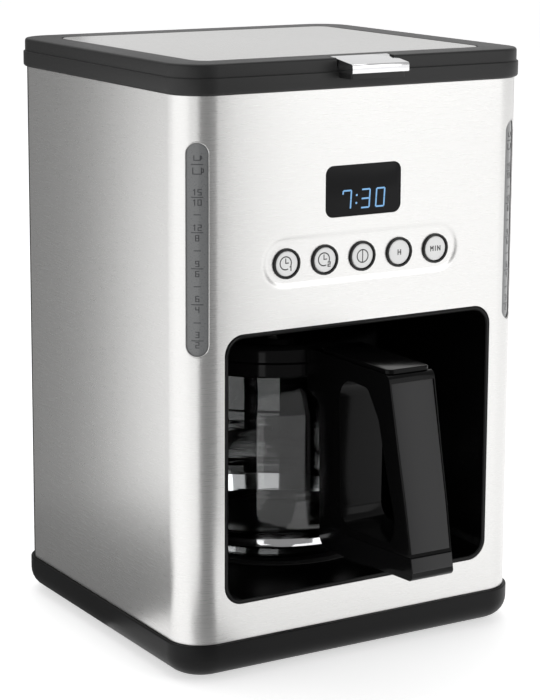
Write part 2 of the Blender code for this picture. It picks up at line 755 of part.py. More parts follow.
def make_filter():
    rim = deck_top + gap
    low = niche_top - holder_drop
    shoulder = niche_top + 0.026
    cone = niche_top + 0.009
    bore = spout_radius - holder_wall
    stem_hole = 0.005
    top_radius = holder_radius
    foot_radius = holder_radius - 0.006
    profile = [(top_radius - holder_wall, rim + 0.0015), (top_radius + 0.004, rim + 0.0015),
               (top_radius + 0.004, rim),
               (top_radius, rim), (foot_radius, shoulder), (spout_radius, cone), (spout_radius, low),
               (stem_hole, low),
               (stem_hole, low + 0.002), (bore, low + 0.002), (bore, cone + 0.001),
               (foot_radius - holder_wall, shoulder + 0.001)]
    holder = turned("filter_holder", profile, (0, brew_y, 0), "black_matte", closed=True)
    bar_z = low + 0.0145
    bar_half = spout_radius - 0.001
    join(holder, block("spring_bar", (-bar_half, brew_y - 0.002, bar_z),
                       (bar_half, brew_y + 0.002, bar_z + 0.002)))
    basket_rim = rim + 0.0015 + gap
    basket_low = shoulder + 0.006
    wide = top_radius - holder_wall - 0.0015
    narrow = foot_radius - holder_wall - 0.0012
    drain = 0.005
    profile = [(wide - basket_wall, basket_rim + 0.0018), (top_radius + 0.002, basket_rim + 0.0018),
               (top_radius + 0.002, basket_rim), (wide, basket_rim), (narrow, basket_low),
               (drain + 0.004, basket_low - 0.008), (drain, basket_low - 0.008),
               (drain, basket_low - 0.0062),
               (narrow - basket_wall - 0.002, basket_low + 0.0018)]
    turned("filter_basket", profile, (0, brew_y, 0), "black_matte", closed=True)
    head_low = low + 0.002 + gap
    profile = [(0, 0.0026), (0.0085, 0.0026), (0.0085, 0.0008), (0.0055, 0), (0.0032, 0), (0.0032, -0.0032),
               (0.0024, -0.0040), (0, -0.0040)]
    turned("drip_valve", profile, (0, brew_y, head_low), "silicone", steps=middle_steps)
    make_valve_spring(head_low + 0.0026 + gap, bar_z - gap)


def make_valve_spring(low, high):
    wire = 0.0005
    coil_radius = 0.0050
    turns = 4
    per_turn = 9
    count = turns * per_turn
    height = high - low - 2 * wire
    path = []
    for i in range(count + 1):
        angle = math.tau * i / per_turn
        z = low + wire + height * i / count
        path.append((coil_radius * math.cos(angle), brew_y + coil_radius * math.sin(angle), z))
    tube("drip_valve_spring", path, wire, "chrome", resolution=1)


def make_controls():
    frame_front = front + steel_wall + gap
    half_z = 0.013
    half_x = button_x(button_count - 1) + 0.013
    frame = block("button_frame", (-half_x, frame_front, button_z - half_z),
                  (half_x, control_back, button_z + half_z),
                  "black_gloss", corner=0.006, axis=1)
    ring_end = front - control_back + 0.0005
    names = ("program_one", "program_two", "power", "hour", "minute")
    for i, name in enumerate(names):
        x = button_x(i)
        inner = button_radius + gap
        cut(frame, rod(f"button_hole_{i}", (inner + button_ring_radius) / 2,
                       (x, front - cut_reach, button_z),
                       (x, control_back + cut_reach, button_z), steps=ring_steps))
        ring = [(inner, 0.0004), (button_ring_radius, 0.0004), (button_ring_radius, ring_end),
                (inner, ring_end)]
        join(frame, turned(f"button_ring_{i}", ring, (x, front, button_z), steps=ring_steps, closed=True,
                           turn=(math.pi / 2, 0, 0)))
        depth = control_back + gap + button_flange - front
        profile = [(0, 0.0008), (button_radius - 0.0006, 0.0008), (button_radius, 0.0003),
                   (button_radius, gap + button_flange - depth),
                   (button_radius + 0.0010, gap + button_flange - depth),
                   (button_radius + 0.0010, gap - depth), (0, gap - depth)]
        turned(f"button_{name}", profile, (x, front, button_z), "light_grey", steps=middle_steps,
               turn=(math.pi / 2, 0, 0))
    use_manifold(frame)
    block("button_pad", (-half_x, pad_front, button_z - half_z),
          (half_x, pad_front + button_pad_thickness, button_z + half_z),
          "silicone", corner=0.004, axis=1)
    top = display_z + display_height / 2 + 0.004
    block("control_board", (-half_x, board_front, button_z - half_z - 0.006),
          (half_x, board_back, top),
          "circuit_green")
    lens_back = front + gap + 0.002
    block("display_lens", (-display_width / 2 + gap, front + 0.0002, display_z - display_height / 2 + gap),
          (display_width / 2 - gap, lens_back, display_z + display_height / 2 - gap), "display",
          corner=display_corner - gap, axis=1)
    block("display_module", (-display_width / 2 + 0.001, lens_back + gap,
                             display_z - display_height / 2 + 0.001),
          (display_width / 2 - 0.001, board_front - gap, display_z + display_height / 2 - 0.001),
          "light_grey")
    board_z = tray_bottom + cover_thickness + 0.0045
    block("power_board", (-0.060, -0.050, board_z), (0.020, 0.020, board_z + board_thickness),
          "circuit_green")


def make_carafe():
    low = carafe_bottom
    high = carafe_top
    outer = [(neck_radius, high), (neck_radius, high - band_height),
             (neck_radius + 0.006, high - band_height - 0.007),
             (carafe_radius - 0.002, high - band_height - 0.015),
             (carafe_radius, high - band_height - 0.026),
             (carafe_radius, low + 0.040), (carafe_radius - 0.001, low + 0.022),
             (carafe_radius - 0.004, low + 0.013),
             (carafe_radius - 0.009, low + 0.005), (carafe_radius - 0.016, low), (0, low)]
    inner = [(0, low + glass_wall), (carafe_radius - 0.018, low + glass_wall)]
    inner += [(r - glass_wall, max(z, low + glass_wall + 0.001)) for r, z in reversed(outer[:-2])]
    turned("carafe_glass", inner + outer, (0, brew_y, 0), "glass", steps=large_steps)
    band_low = high - band_height
    profile = [(neck_radius + gap, high), (band_radius, high), (band_radius, band_low),
               (neck_radius + gap, band_low)]
    turned("carafe_band", profile, (0, brew_y, 0), "black_gloss", closed=True)
    make_handle()
    make_carafe_lid()


def from_carafe(points):
    """Outline points given forward of the glass and up from its underside, as (y, z, radius)."""
    return [(carafe_front + y, carafe_bottom + z, radius) for y, z, radius in points]


def taper(obj, top, bottom):
    """Narrow a prism along X, evenly from its top height to its bottom one."""
    for vert in obj.data.vertices:
        vert.co.z *= 1 - handle_taper * (top - vert.co.y) / (top - bottom)
    return obj


def make_handle():
    half = handle_width / 2
    taper_top = carafe_bottom + handle_top
    taper_bottom = carafe_bottom + 0.016
    rear_top = brew_y - band_radius - gap - carafe_front
    strut_back = -0.006
    cap_top = 0.026
    body = from_carafe([(strut_back, cap_top, 0), (strut_back, 0.099, 0.004), (rear_top, 0.104, 0),
                        (rear_top, handle_top, 0.002),
                        (-0.0770, handle_top, 0.004), (-0.0860, 0.0871, 0.2), (-0.0924, 0.0601, 0.2),
                        (-0.0982, 0.0312, 0)])
    gap_shape = from_carafe([(-0.0285, 0.0330, 0.010), (-0.0280, 0.1180, 0.012), (-0.0560, 0.1175, 0.006),
                             (-0.0670, 0.1020, 0.02), (-0.0760, 0.0700, 0.05), (-0.0835, 0.0480, 0.02),
                             (-0.0800, 0.0340, 0.008)])
    handle = prism("handle_body", [rounded(body), rounded(gap_shape)], half, "black_gloss")
    taper(handle, taper_top, taper_bottom)
    soften(handle, handle_edge)
    line = [(-0.0774, 0.1240), (-0.0860, 0.0871), (-0.0924, 0.0601), (-0.0979, 0.0330)]
    inner_edge = [(y + panel_thickness, z, 0) for y, z in reversed(line)]
    panel_outline = from_carafe([(y, z, 0) for y, z in line] + inner_edge)
    panel = prism("handle_front_panel", [rounded(panel_outline)], panel_width / 2, "black_matte")
    taper(panel, taper_top, taper_bottom)
    soften(panel, 0.0004, 1)
    slot_line = [(y - 0.004, z) for y, z in line]
    slot_line[0] = (slot_line[0][0], slot_line[0][1] + gap)
    slot_line[-1] = (slot_line[-1][0], slot_line[-1][1] - gap)
    slot_back = [(y + 0.004 + panel_thickness + gap, z, 0) for y, z in reversed(slot_line)]
    pocket_outline = from_carafe([(y, z, 0) for y, z in slot_line] + slot_back)
    pocket = prism("panel_pocket", [rounded(pocket_outline)], panel_width / 2 + gap)
    cut(handle, taper(pocket, taper_top, taper_bottom))
    cap = from_carafe([(strut_back, cap_top - gap, 0), (strut_back, 0.0145, 0.006), (-0.043, 0.0134, 0.03),
                       (-0.060, 0.0160, 0.03), (-0.0985, 0.0182, 0.003), (-0.1004, 0.0205, 0.002),
                       (-0.0985, 0.0312 - gap, 0)])
    end_cap = prism("handle_end_cap", [rounded(cap)], half, "black_matte")
    taper(end_cap, taper_top, taper_bottom)
    soften(end_cap, 0.002, 2)
    screw_y = carafe_front - 0.018
    seat = carafe_bottom + 0.0185
    cut(end_cap, rod("cap_hole", 0.0018, (0, screw_y, seat - 0.03), (0, screw_y, seat + 0.03)),
        rod("cap_counterbore", 0.0036, (0, screw_y, seat - 0.03), (0, screw_y, seat), steps=middle_steps))
    cut(handle, rod("strut_pilot", 0.0018, (0, screw_y, seat), (0, screw_y, seat + 0.022)))
    profile = [(0, 0.020), (0.0008, 0.020), (0.0015, 0.0185), (0.0015, -gap), (0.0032, -gap),
               (0.0032, -0.0018), (0, -0.0018)]
    turned("handle_screw", profile, (0, screw_y, seat), "chrome", steps=small_steps)
    cap_z = carafe_bottom + handle_top + gap
    block("handle_top_cap", (-half + 0.001, carafe_front - 0.0752, cap_z),
                    (half - 0.001, carafe_front - 0.006, cap_z + 0.0024), "black_gloss", corner=0.004,
                    over=0.0008)


def make_carafe_lid():
    pin_y = brew_y - band_radius - 0.0030
    pin_z = carafe_bottom + 0.1225
    pivot = pivot_at("carafe_lid_hinge", (0, pin_y, pin_z))
    rim_low = carafe_top + gap
    top = rim_low + carafe_lid_height
    plug = neck_radius - glass_wall - 0.0018
    edge = band_radius
    profile = [(0, top), (edge - 0.004, top), (edge - 0.001, top - 0.0012), (edge, top - 0.004),
               (edge, rim_low),
               (plug, rim_low), (plug, rim_low - 0.0075), (plug - 0.002, rim_low - 0.0075),
               (plug - 0.002, rim_low + 0.0030), (0, rim_low + 0.0030)]
    lid = turned("carafe_lid", profile, (0, brew_y, 0), "black_gloss", steps=large_steps)
    cut(lid, rod("carafe_lid_inlet", 0.007, (0, brew_y, rim_low - cut_reach), (0, brew_y, top + cut_reach),
                 steps=middle_steps))
    ear = 0.0085
    handle = bpy.data.objects["handle_body"]
    tongue = block("carafe_lid_tongue", (-ear, pin_y - 0.0032, pin_z - 0.0032),
                   (ear, brew_y - edge + 0.006, pin_z + 0.0032), corner=0.0025, axis=0)
    join(lid, tongue)
    notch = block("handle_hinge_notch", (-ear - gap, pin_y - 0.0045, pin_z - 0.0045),
                  (ear + gap, carafe_front + 0.05, pin_z + 0.02))
    cut(handle, notch)
    cut(handle, rod("handle_pin_hole", lid_pin_radius + pin_clearance, (-0.0125, pin_y, pin_z),
                    (0.0125, pin_y, pin_z),
                    steps=small_steps))
    cut(lid, rod("lid_tongue_hole", lid_pin_radius + pin_clearance, (-0.02, pin_y, pin_z),
                 (0.02, pin_y, pin_z)))
    rod("carafe_lid_pin", lid_pin_radius, (-0.012, pin_y, pin_z), (0.012, pin_y, pin_z), "chrome")
    hang(pivot, lid)


start()
make_base()
make_housing()
make_liner()
make_collar()
make_lid()
make_tank()
make_heater()
make_filter()
make_controls()
make_carafe()
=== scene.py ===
import math
import bmesh
import bpy
from mathutils import Matrix, Vector


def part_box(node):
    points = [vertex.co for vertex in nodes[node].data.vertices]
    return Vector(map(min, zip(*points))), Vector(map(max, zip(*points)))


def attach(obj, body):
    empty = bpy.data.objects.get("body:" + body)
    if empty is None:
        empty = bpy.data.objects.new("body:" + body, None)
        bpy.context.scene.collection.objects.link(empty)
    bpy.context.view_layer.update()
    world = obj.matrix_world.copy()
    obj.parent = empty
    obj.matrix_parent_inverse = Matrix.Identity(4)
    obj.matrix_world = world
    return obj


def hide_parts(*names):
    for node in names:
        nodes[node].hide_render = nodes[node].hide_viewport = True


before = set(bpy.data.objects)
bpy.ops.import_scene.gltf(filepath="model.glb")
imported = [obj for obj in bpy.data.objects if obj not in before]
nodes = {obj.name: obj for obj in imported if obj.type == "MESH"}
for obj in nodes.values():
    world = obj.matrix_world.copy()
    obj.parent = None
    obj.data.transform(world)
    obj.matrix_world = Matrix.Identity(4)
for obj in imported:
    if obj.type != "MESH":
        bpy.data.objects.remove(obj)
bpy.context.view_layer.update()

scene = bpy.context.scene
print("stage: frame loaded", len(nodes), "nodes")


cameraShape = {
    "place": (-0.68696, -1.14177, 0.45708),
    "turn": 0.543701,      # radians from straight ahead towards the right
    "drop": 0.183550,      # radians below the horizon
    "roll": 0.004252,
    "lens": 116.19,
    "sensor": 36.0,
    "shiftY": -0.12,
}


def makeCamera():
    data = bpy.data.cameras.new("studioCamera")
    data.lens = cameraShape["lens"]
    data.sensor_width = cameraShape["sensor"]
    data.shift_y = cameraShape["shiftY"]
    data.clip_start = 0.05
    data.clip_end = 60.0
    camera = bpy.data.objects.new("studioCamera", data)
    scene.collection.objects.link(camera)
    turn = cameraShape["turn"]
    drop = cameraShape["drop"]
    ahead = Vector((math.sin(turn) * math.cos(drop), math.cos(turn) * math.cos(drop), -math.sin(drop)))
    right = Vector((math.cos(turn), -math.sin(turn), 0.0))
    above = right.cross(ahead)
    roll = cameraShape["roll"]
    rolledRight = right * math.cos(roll) + above * math.sin(roll)
    rolledAbove = above * math.cos(roll) - right * math.sin(roll)
    turned = Matrix((rolledRight, rolledAbove, -ahead)).transposed().to_4x4()
    camera.matrix_world = Matrix.Translation(cameraShape["place"]) @ turned
    scene.camera = camera


studioShape = {
    "floorSize": 30.0,
    "floorColor": (0.90, 0.90, 0.90, 1.0),
    "floorGlow": 0.56,
    "worldColor": (1.0, 1.0, 1.0, 1.0),
    "worldStrength": 0.50,
}

# softboxes: place, point they face, width, height, watts
softBoxes = {
    "keyRight": ((1.10, -2.00, 1.00), (0.0, 0.0, 0.15), 1.3, 1.6, 10.0),
    "fillLeft": ((-2.20, 0.10, 1.30), (0.0, 0.0, 0.20), 0.9, 1.2, 3.0),
    "overhead": ((0.10, 0.70, 2.40), (0.0, 0.0, 0.0), 2.2, 1.6, 15.0),
}

# cards seen only in reflections: place, point they face, width, height, brightness
reflectors = {
    "cardRear": ((-0.088, 0.306, 0.20), (0.427, -0.551, 0.20), 0.38, 0.44, 0.25),
    "cardFloor": ((-0.120, 0.210, 0.0012), (-0.120, 0.210, 1.0), 0.30, 0.42, 0.20),
    "cardCorner": ((-0.103, -0.335, 0.22), (-0.09, -0.10, 0.22), 0.29, 0.50, 0.26),
    "cardCamera": ((-0.17, -0.62, 0.36), (-0.05, -0.10, 0.36), 0.44, 0.74, 0.16),
    "cardFoot": ((-0.125, -0.25, 0.0012), (-0.125, -0.25, 1.0), 0.14, 0.22, 0.25),
    "glowLeft": ((-0.74, -0.04, 0.30), (-0.10, -0.08, 0.20), 0.74, 0.64, 1.30),
    "glowBack": ((0.93, 1.54, 0.72), (0.0, 0.0, 0.34), 3.0, 1.4, 0.80),
}


def aimed(place, aim):
    turn = (Vector(aim) - Vector(place)).to_track_quat("-Z", "Y").to_matrix().to_4x4()
    return Matrix.Translation(place) @ turn


def makeWorld():
    world = bpy.data.worlds.new("studioWorld")
    scene.world = world
    world.use_nodes = True
    tree = world.node_tree
    sky = tree.nodes["Background"]
    sky.inputs["Color"].default_value = studioShape["worldColor"]
    sky.inputs["Strength"].default_value = studioShape["worldStrength"]
    paper = tree.nodes.new("ShaderNodeBackground")   # seen straight on, the backdrop is plain white
    paper.inputs["Color"].default_value = (1.0, 1.0, 1.0, 1.0)
    path = tree.nodes.new("ShaderNodeLightPath")
    mix = tree.nodes.new("ShaderNodeMixShader")
    tree.links.new(path.outputs["Is Camera Ray"], mix.inputs["Fac"])
    tree.links.new(sky.outputs["Background"], mix.inputs[1])
    tree.links.new(paper.outputs["Background"], mix.inputs[2])
    tree.links.new(mix.outputs["Shader"], tree.nodes["World Output"].inputs["Surface"])


def flatPiece(name, width, height, material):
    mesh = bpy.data.meshes.new(name)
    x = width / 2
    y = height / 2
    mesh.from_pydata([(-x, -y, 0), (x, -y, 0), (x, y, 0), (-x, y, 0)], [], [(0, 1, 2, 3)])
    mesh.materials.append(material)
    flat = bpy.data.objects.new(name, mesh)
    scene.collection.objects.link(flat)
    return flat


def makeStudio():
    makeWorld()
    for name, (place, aim, width, height, watts) in softBoxes.items():
        data = bpy.data.lights.new(name, "AREA")
        data.shape = "RECTANGLE"
        data.size = width
        data.size_y = height
        data.energy = watts
        lamp = bpy.data.objects.new(name, data)
        scene.collection.objects.link(lamp)
        lamp.matrix_world = aimed(place, aim)
    paper = newMaterial("floorPaper", studioShape["floorColor"], 0.6)
    shaderOf(paper).inputs["Emission Color"].default_value = (1.0, 1.0, 1.0, 1.0)
    shaderOf(paper).inputs["Emission Strength"].default_value = studioShape["floorGlow"]
    flatPiece("studioFloor", studioShape["floorSize"], studioShape["floorSize"], paper)
    for name, (place, aim, width, height, brightness) in reflectors.items():
        glow = newMaterial(name, (0.0, 0.0, 0.0, 1.0), 1.0)
        shaderOf(glow).inputs["Specular IOR Level"].default_value = 0.0
        shaderOf(glow).inputs["Emission Color"].default_value = (1.0, 1.0, 1.0, 1.0)
        shaderOf(glow).inputs["Emission Strength"].default_value = brightness
        card = flatPiece(name, width, height, glow)
        card.matrix_world = aimed(place, aim)
        card.visible_camera = False
        card.visible_diffuse = False
        card.visible_shadow = False
        card.visible_transmission = False
    scene.view_settings.view_transform = "Standard"


def newMaterial(name, color, roughness, metallic=0.0, **others):
    material = bpy.data.materials.new(name)
    material.use_nodes = True
    shader = material.node_tree.nodes["Principled BSDF"]
    shader.inputs["Base Color"].default_value = color
    shader.inputs["Roughness"].default_value = roughness
    shader.inputs["Metallic"].default_value = metallic
    for socket, value in others.items():
        shader.inputs[socket.replace("_", " ")].default_value = value
    return material


def addNode(material, kind, **values):
    node = material.node_tree.nodes.new(kind)
    for socket, value in values.items():
        node.inputs[socket.replace("_", " ")].default_value = value
    return node


def join(material, start, startSocket, end, endSocket):
    material.node_tree.links.new(start.outputs[startSocket], end.inputs[endSocket])


def shaderOf(material):
    return material.node_tree.nodes["Principled BSDF"]


def grainField(material, scale, detail=3.0, stretch=(1.0, 1.0, 1.0)):
    # noise in the part's own metres, stretched along the direction of the grain
    coords = addNode(material, "ShaderNodeTexCoord")
    mapping = addNode(material, "ShaderNodeMapping")
    mapping.inputs["Scale"].default_value = stretch
    noise = addNode(material, "ShaderNodeTexNoise", Scale=scale, Detail=detail, Roughness=0.6)
    join(material, coords, "Object", mapping, "Vector")
    join(material, mapping, "Vector", noise, "Vector")
    return noise


def spread(material, source, low, high):
    ranged = addNode(material, "ShaderNodeMapRange")
    ranged.inputs["From Min"].default_value = 0.3
    ranged.inputs["From Max"].default_value = 0.7
    ranged.inputs["To Min"].default_value = low
    ranged.inputs["To Max"].default_value = high
    join(material, source, "Fac", ranged, "Value")
    return ranged


def tint(material, source, dark, light):
    mix = addNode(material, "ShaderNodeMix")
    mix.data_type = "RGBA"
    mix.inputs[6].default_value = dark
    mix.inputs[7].default_value = light
    join(material, source, "Fac", mix, 0)
    material.node_tree.links.new(mix.outputs[2], shaderOf(material).inputs["Base Color"])


def raiseBump(material, source, strength, distance):
    bump = addNode(material, "ShaderNodeBump", Strength=strength, Distance=distance)
    join(material, source, "Fac", bump, "Height")
    join(material, bump, "Normal", shaderOf(material), "Normal")


def brushedSteel(name, stretch, finish):
    material = newMaterial(name, finish["color"], finish["roughness"], 1.0)
    fine = grainField(material, 1.0, 4.0, stretch)
    rough = spread(material, fine, finish["roughness"] - finish["variation"],
                   finish["roughness"] + finish["variation"])
    join(material, rough, "Result", shaderOf(material), "Roughness")
    tint(material, fine, finish["dark"], finish["color"])
    raiseBump(material, fine, finish["bump"], 0.0002)
    return material


def mouldedPlastic(name, color, roughness, grain=1400.0, bump=0.12, spreadBy=0.05, **others):
    material = newMaterial(name, color, roughness, 0.0, **others)
    noise = grainField(material, grain, 2.0)
    rough = spread(material, noise, roughness - spreadBy, roughness + spreadBy)
    join(material, rough, "Result", shaderOf(material), "Roughness")
    raiseBump(material, noise, bump, 0.0001)
    return material


steelFinish = {
    "color": (0.76, 0.755, 0.745, 1.0),
    "dark": (0.69, 0.685, 0.675, 1.0),
    "roughness": 0.29,
    "variation": 0.03,
    "bump": 0.05,
}

# material name, color, roughness, then grain, bump, spread and shader values that differ
plastics = {
    "satinBlack": ("satinBlackPlastic", (0.013, 0.013, 0.013, 1), 0.44, {"Specular_IOR_Level": 0.34}),
    "baseBlack": ("baseBlackPlastic", (0.006, 0.006, 0.0062, 1), 0.40, {"Specular_IOR_Level": 0.15}),
    "glossBlack": ("glossBlackPlastic", (0.004, 0.004, 0.0042, 1), 0.10,
                   {"grain": 300.0, "bump": 0.02, "spreadBy": 0.02, "Specular_IOR_Level": 0.17}),
    "nicheBlack": ("nicheBlackPlastic", (0.0015, 0.0015, 0.0015, 1), 0.30,
                   {"grain": 900.0, "bump": 0.03, "spreadBy": 0.03, "Specular_IOR_Level": 0.06}),
    "handleBlack": ("handleBlackPlastic", (0.003, 0.003, 0.0031, 1), 0.16,
                    {"grain": 300.0, "bump": 0.02, "spreadBy": 0.02, "Specular_IOR_Level": 0.10}),
    "gripBlack": ("gripBlackPlastic", (0.020, 0.020, 0.0205, 1), 0.48,
                  {"grain": 1800.0, "bump": 0.15, "Specular_IOR_Level": 0.34}),
    "innerBlack": ("innerBlackPlastic", (0.02, 0.02, 0.02, 1), 0.5, {}),
    "window": ("smokedWindow", (0.135, 0.138, 0.140, 1), 0.30,
               {"grain": 900.0, "bump": 0.05, "Coat_Weight": 0.6, "Coat_Roughness": 0.15}),
    "printGrey": ("scalePrint", (0.040, 0.040, 0.046, 1), 0.5, {}),
    "lens": ("displayLens", (0.005, 0.005, 0.0055, 1), 0.14,
             {"grain": 200.0, "bump": 0.01, "spreadBy": 0.02, "Specular_IOR_Level": 0.12}),
    "glow": ("displayGlow", (0.05, 0.12, 0.20, 1), 0.4, {}),
    "iconGrey": ("iconPrint", (0.06, 0.06, 0.062, 1), 0.5, {}),
    "button": ("buttonCap", (0.80, 0.80, 0.795, 1), 0.38, {"grain": 1600.0, "bump": 0.08}),
    "tank": ("frostedTank", (0.50, 0.52, 0.53, 1), 0.35, {}),
    "rubber": ("rubberFoot", (0.015, 0.015, 0.015, 1), 0.75, {}),
    "silicone": ("paleSilicone", (0.60, 0.60, 0.57, 1), 0.5, {}),
    "board": ("circuitBoard", (0.015, 0.11, 0.045, 1), 0.4, {}),
    "plate": ("nonStickPlate", (0.010, 0.010, 0.010, 1), 0.38, {"grain": 1200.0, "bump": 0.2}),
}
glowColor = (0.20, 0.43, 0.74, 1)
glowStrength = 0.80

finishes = {}


def makeFinishes():
    finishes["steel"] = brushedSteel("brushedSteelAround", (70.0, 70.0, 5200.0), steelFinish)
    finishes["steelLid"] = brushedSteel("brushedSteelLid", (70.0, 5200.0, 70.0), steelFinish)
    for finish, (name, color, roughness, others) in plastics.items():
        finishes[finish] = mouldedPlastic(name, color, roughness, **others)
    shaderOf(finishes["glow"]).inputs["Emission Color"].default_value = glowColor
    shaderOf(finishes["glow"]).inputs["Emission Strength"].default_value = glowStrength
    finishes["chrome"] = newMaterial("polishedChrome", (0.86, 0.86, 0.87, 1), 0.06, 1.0)
    smudge = grainField(finishes["chrome"], 120.0, 2.0)
    rough = spread(finishes["chrome"], smudge, 0.04, 0.10)
    join(finishes["chrome"], rough, "Result", shaderOf(finishes["chrome"]), "Roughness")
    finishes["glass"] = newMaterial("clearGlass", (0.97, 0.98, 0.98, 1), 0.0, 0.0, IOR=1.5,
                                    Transmission_Weight=1.0)
    ripple = grainField(finishes["glass"], 1.0, 2.0, (9.0, 9.0, 150.0))
    raiseBump(finishes["glass"], ripple, 0.22, 0.0006)
    finishes["aluminium"] = brushedSteel("castAluminium", (300.0, 300.0, 300.0), steelFinish)


def middleOf(node):
    low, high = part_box(node)
    return (low.x + high.x) / 2, (low.y + high.y) / 2, (low.z + high.z) / 2


def newPiece(name, mesh, finish, body, slotName, *replaced):
    piece = bpy.data.objects.new(name, mesh)
    scene.collection.objects.link(piece)
    mesh.materials.clear()
    mesh.materials.append(finishes[finish])
    for face in mesh.polygons:
        face.use_smooth = True
    mesh.set_sharp_from_angle(angle=math.radians(35))
    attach(piece, body)
    if replaced:
        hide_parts(*replaced)
    return piece


def meshFrom(bm, name):
    mesh = bpy.data.meshes.new(name)
    bm.normal_update()
    bm.to_mesh(mesh)
    bm.free()
    return mesh


def roundedBlock(low, high, corner=0.0, axis=2, segments=14, under=0.0, over=0.0, edgeSegments=4):
    low = Vector(low)
    high = Vector(high)
    bm = bmesh.new()
    bmesh.ops.create_cube(bm, size=1.0)
    bmesh.ops.scale(bm, vec=high - low, verts=bm.verts)
    if corner > 0:
        edges = [e for e in bm.edges if abs(e.verts[0].co[axis] - e.verts[1].co[axis]) > 1e-6]
        bmesh.ops.bevel(bm, geom=edges, offset=corner, segments=segments, profile=0.5, affect="EDGES")
        bmesh.ops.remove_doubles(bm, verts=bm.verts, dist=1e-7)
    for sign, radius in ((-1, under), (1, over)):
        if radius > 0:
            bm.normal_update()
            ends = [f for f in bm.faces if f.normal[axis] * sign > 0.99]
            edges = list({e for f in ends for e in f.edges})
            bmesh.ops.bevel(bm, geom=edges, offset=radius, segments=edgeSegments, profile=0.5,
                            affect="EDGES")
    bmesh.ops.translate(bm, vec=(low + high) / 2, verts=bm.verts)
    return bm


def lathed(profile, centre, steps=96, axis="Z", ring=False):
    # profile of (radius, height), down the outer side; points on the axis close the shape
    bm = bmesh.new()
    rows = []
    for radius, height in profile:
        if radius < 1e-7:
            rows.append([bm.verts.new((0, 0, height))])
        else:
            rows.append([bm.verts.new((radius * math.cos(math.tau * i / steps),
                                       radius * math.sin(math.tau * i / steps),
                                       height)) for i in range(steps)])
    pairs = list(zip(rows, rows[1:]))
    if ring:
        pairs.append((rows[-1], rows[0]))
    for upper, lower in pairs:
        for i in range(steps):
            j = (i + 1) % steps
            if len(upper) == 1 and len(lower) == 1:
                continue
            if len(upper) == 1:
                bm.faces.new((upper[0], lower[i], lower[j]))
            elif len(lower) == 1:
                bm.faces.new((upper[i], lower[0], upper[j]))
            else:
                bm.faces.new((upper[i], lower[i], lower[j], upper[j]))
    bmesh.ops.recalc_face_normals(bm, faces=bm.faces)
    if axis == "Y":   # heights run towards the front
        bmesh.ops.rotate(bm, cent=(0, 0, 0), matrix=Matrix.Rotation(math.pi / 2, 3, "X"), verts=bm.verts)
    if axis == "X":
        bmesh.ops.rotate(bm, cent=(0, 0, 0), matrix=Matrix.Rotation(math.pi / 2, 3, "Y"), verts=bm.verts)
    bmesh.ops.translate(bm, vec=centre, verts=bm.verts)
    return bm


def filleted(corners, segments=8):
    # closed outline from (y, z, radius) corners
    points = []
    for i, (y, z, radius) in enumerate(corners):
        corner = Vector((y, z))
        back = (Vector(corners[i - 1][:2]) - corner).normalized()
        ahead = (Vector(corners[(i + 1) % len(corners)][:2]) - corner).normalized()
        half = back.angle(ahead) / 2
        if radius <= 0 or half > math.radians(89):
            points.append(corner)
            continue
        reach = radius / math.tan(half)
        middle = corner + (back + ahead).normalized() * (radius / math.sin(half))
        first = corner + back * reach - middle
        last = corner + ahead * reach - middle
        sweep = first.angle_signed(last)
        for step in range(segments + 1):
            points.append(middle + Matrix.Rotation(-sweep * step / segments, 2) @ first)
    return points


def extruded(outline, holes, halfWidth, edge=0.0, edgeSegments=3):
    # outline in the YZ plane drawn out along X, its rims rounded
    curve = bpy.data.curves.new("outline", "CURVE")
    curve.dimensions = "2D"
    curve.fill_mode = "BOTH"
    curve.extrude = halfWidth
    for points in [outline, *holes]:
        spline = curve.splines.new("POLY")
        spline.points.add(len(points) - 1)
        for point, (y, z) in zip(spline.points, points):
            point.co = (y, z, 0.0, 1.0)
        spline.use_cyclic_u = True
    flat = bpy.data.objects.new("outline", curve)
    scene.collection.objects.link(flat)
    graph = bpy.context.evaluated_depsgraph_get()
    mesh = bpy.data.meshes.new_from_object(flat.evaluated_get(graph))
    bpy.data.objects.remove(flat, do_unlink=True)
    bm = bmesh.new()
    bm.from_mesh(mesh)
    bpy.data.meshes.remove(mesh)
    bmesh.ops.remove_doubles(bm, verts=bm.verts, dist=1e-6)
    bmesh.ops.recalc_face_normals(bm, faces=bm.faces)
    if edge > 0:
        bm.normal_update()
        rims = [e for e in bm.edges if len(e.link_faces) == 2 and e.calc_face_angle() > math.radians(60)
                and abs(e.verts[0].co.z - e.verts[1].co.z) < 1e-7]
        bmesh.ops.bevel(bm, geom=rims, offset=edge, segments=edgeSegments, profile=0.5, affect="EDGES",
                        clamp_overlap=True)
    turn = Matrix(((0, 0, 1), (1, 0, 0), (0, 1, 0)))
    bmesh.ops.transform(bm, matrix=turn.to_4x4(), verts=bm.verts)
    return bm


def carve(mesh, cutters, operation="DIFFERENCE"):
    # Boolean of a mesh with bmesh cutters, applied at once
    blank = bpy.data.objects.new("carved", mesh)
    scene.collection.objects.link(blank)
    tools = []
    for i, cutter in enumerate(cutters):
        tool = bpy.data.objects.new(f"carver{i}", meshFrom(cutter, f"carver{i}"))
        scene.collection.objects.link(tool)
        tools.append(tool)
        modifier = blank.modifiers.new(tool.name, "BOOLEAN")
        modifier.operation = operation
        modifier.object = tool
    graph = bpy.context.evaluated_depsgraph_get()
    result = bpy.data.meshes.new_from_object(blank.evaluated_get(graph))
    for thing in [blank, *tools]:
        bpy.data.objects.remove(thing, do_unlink=True)
    return result


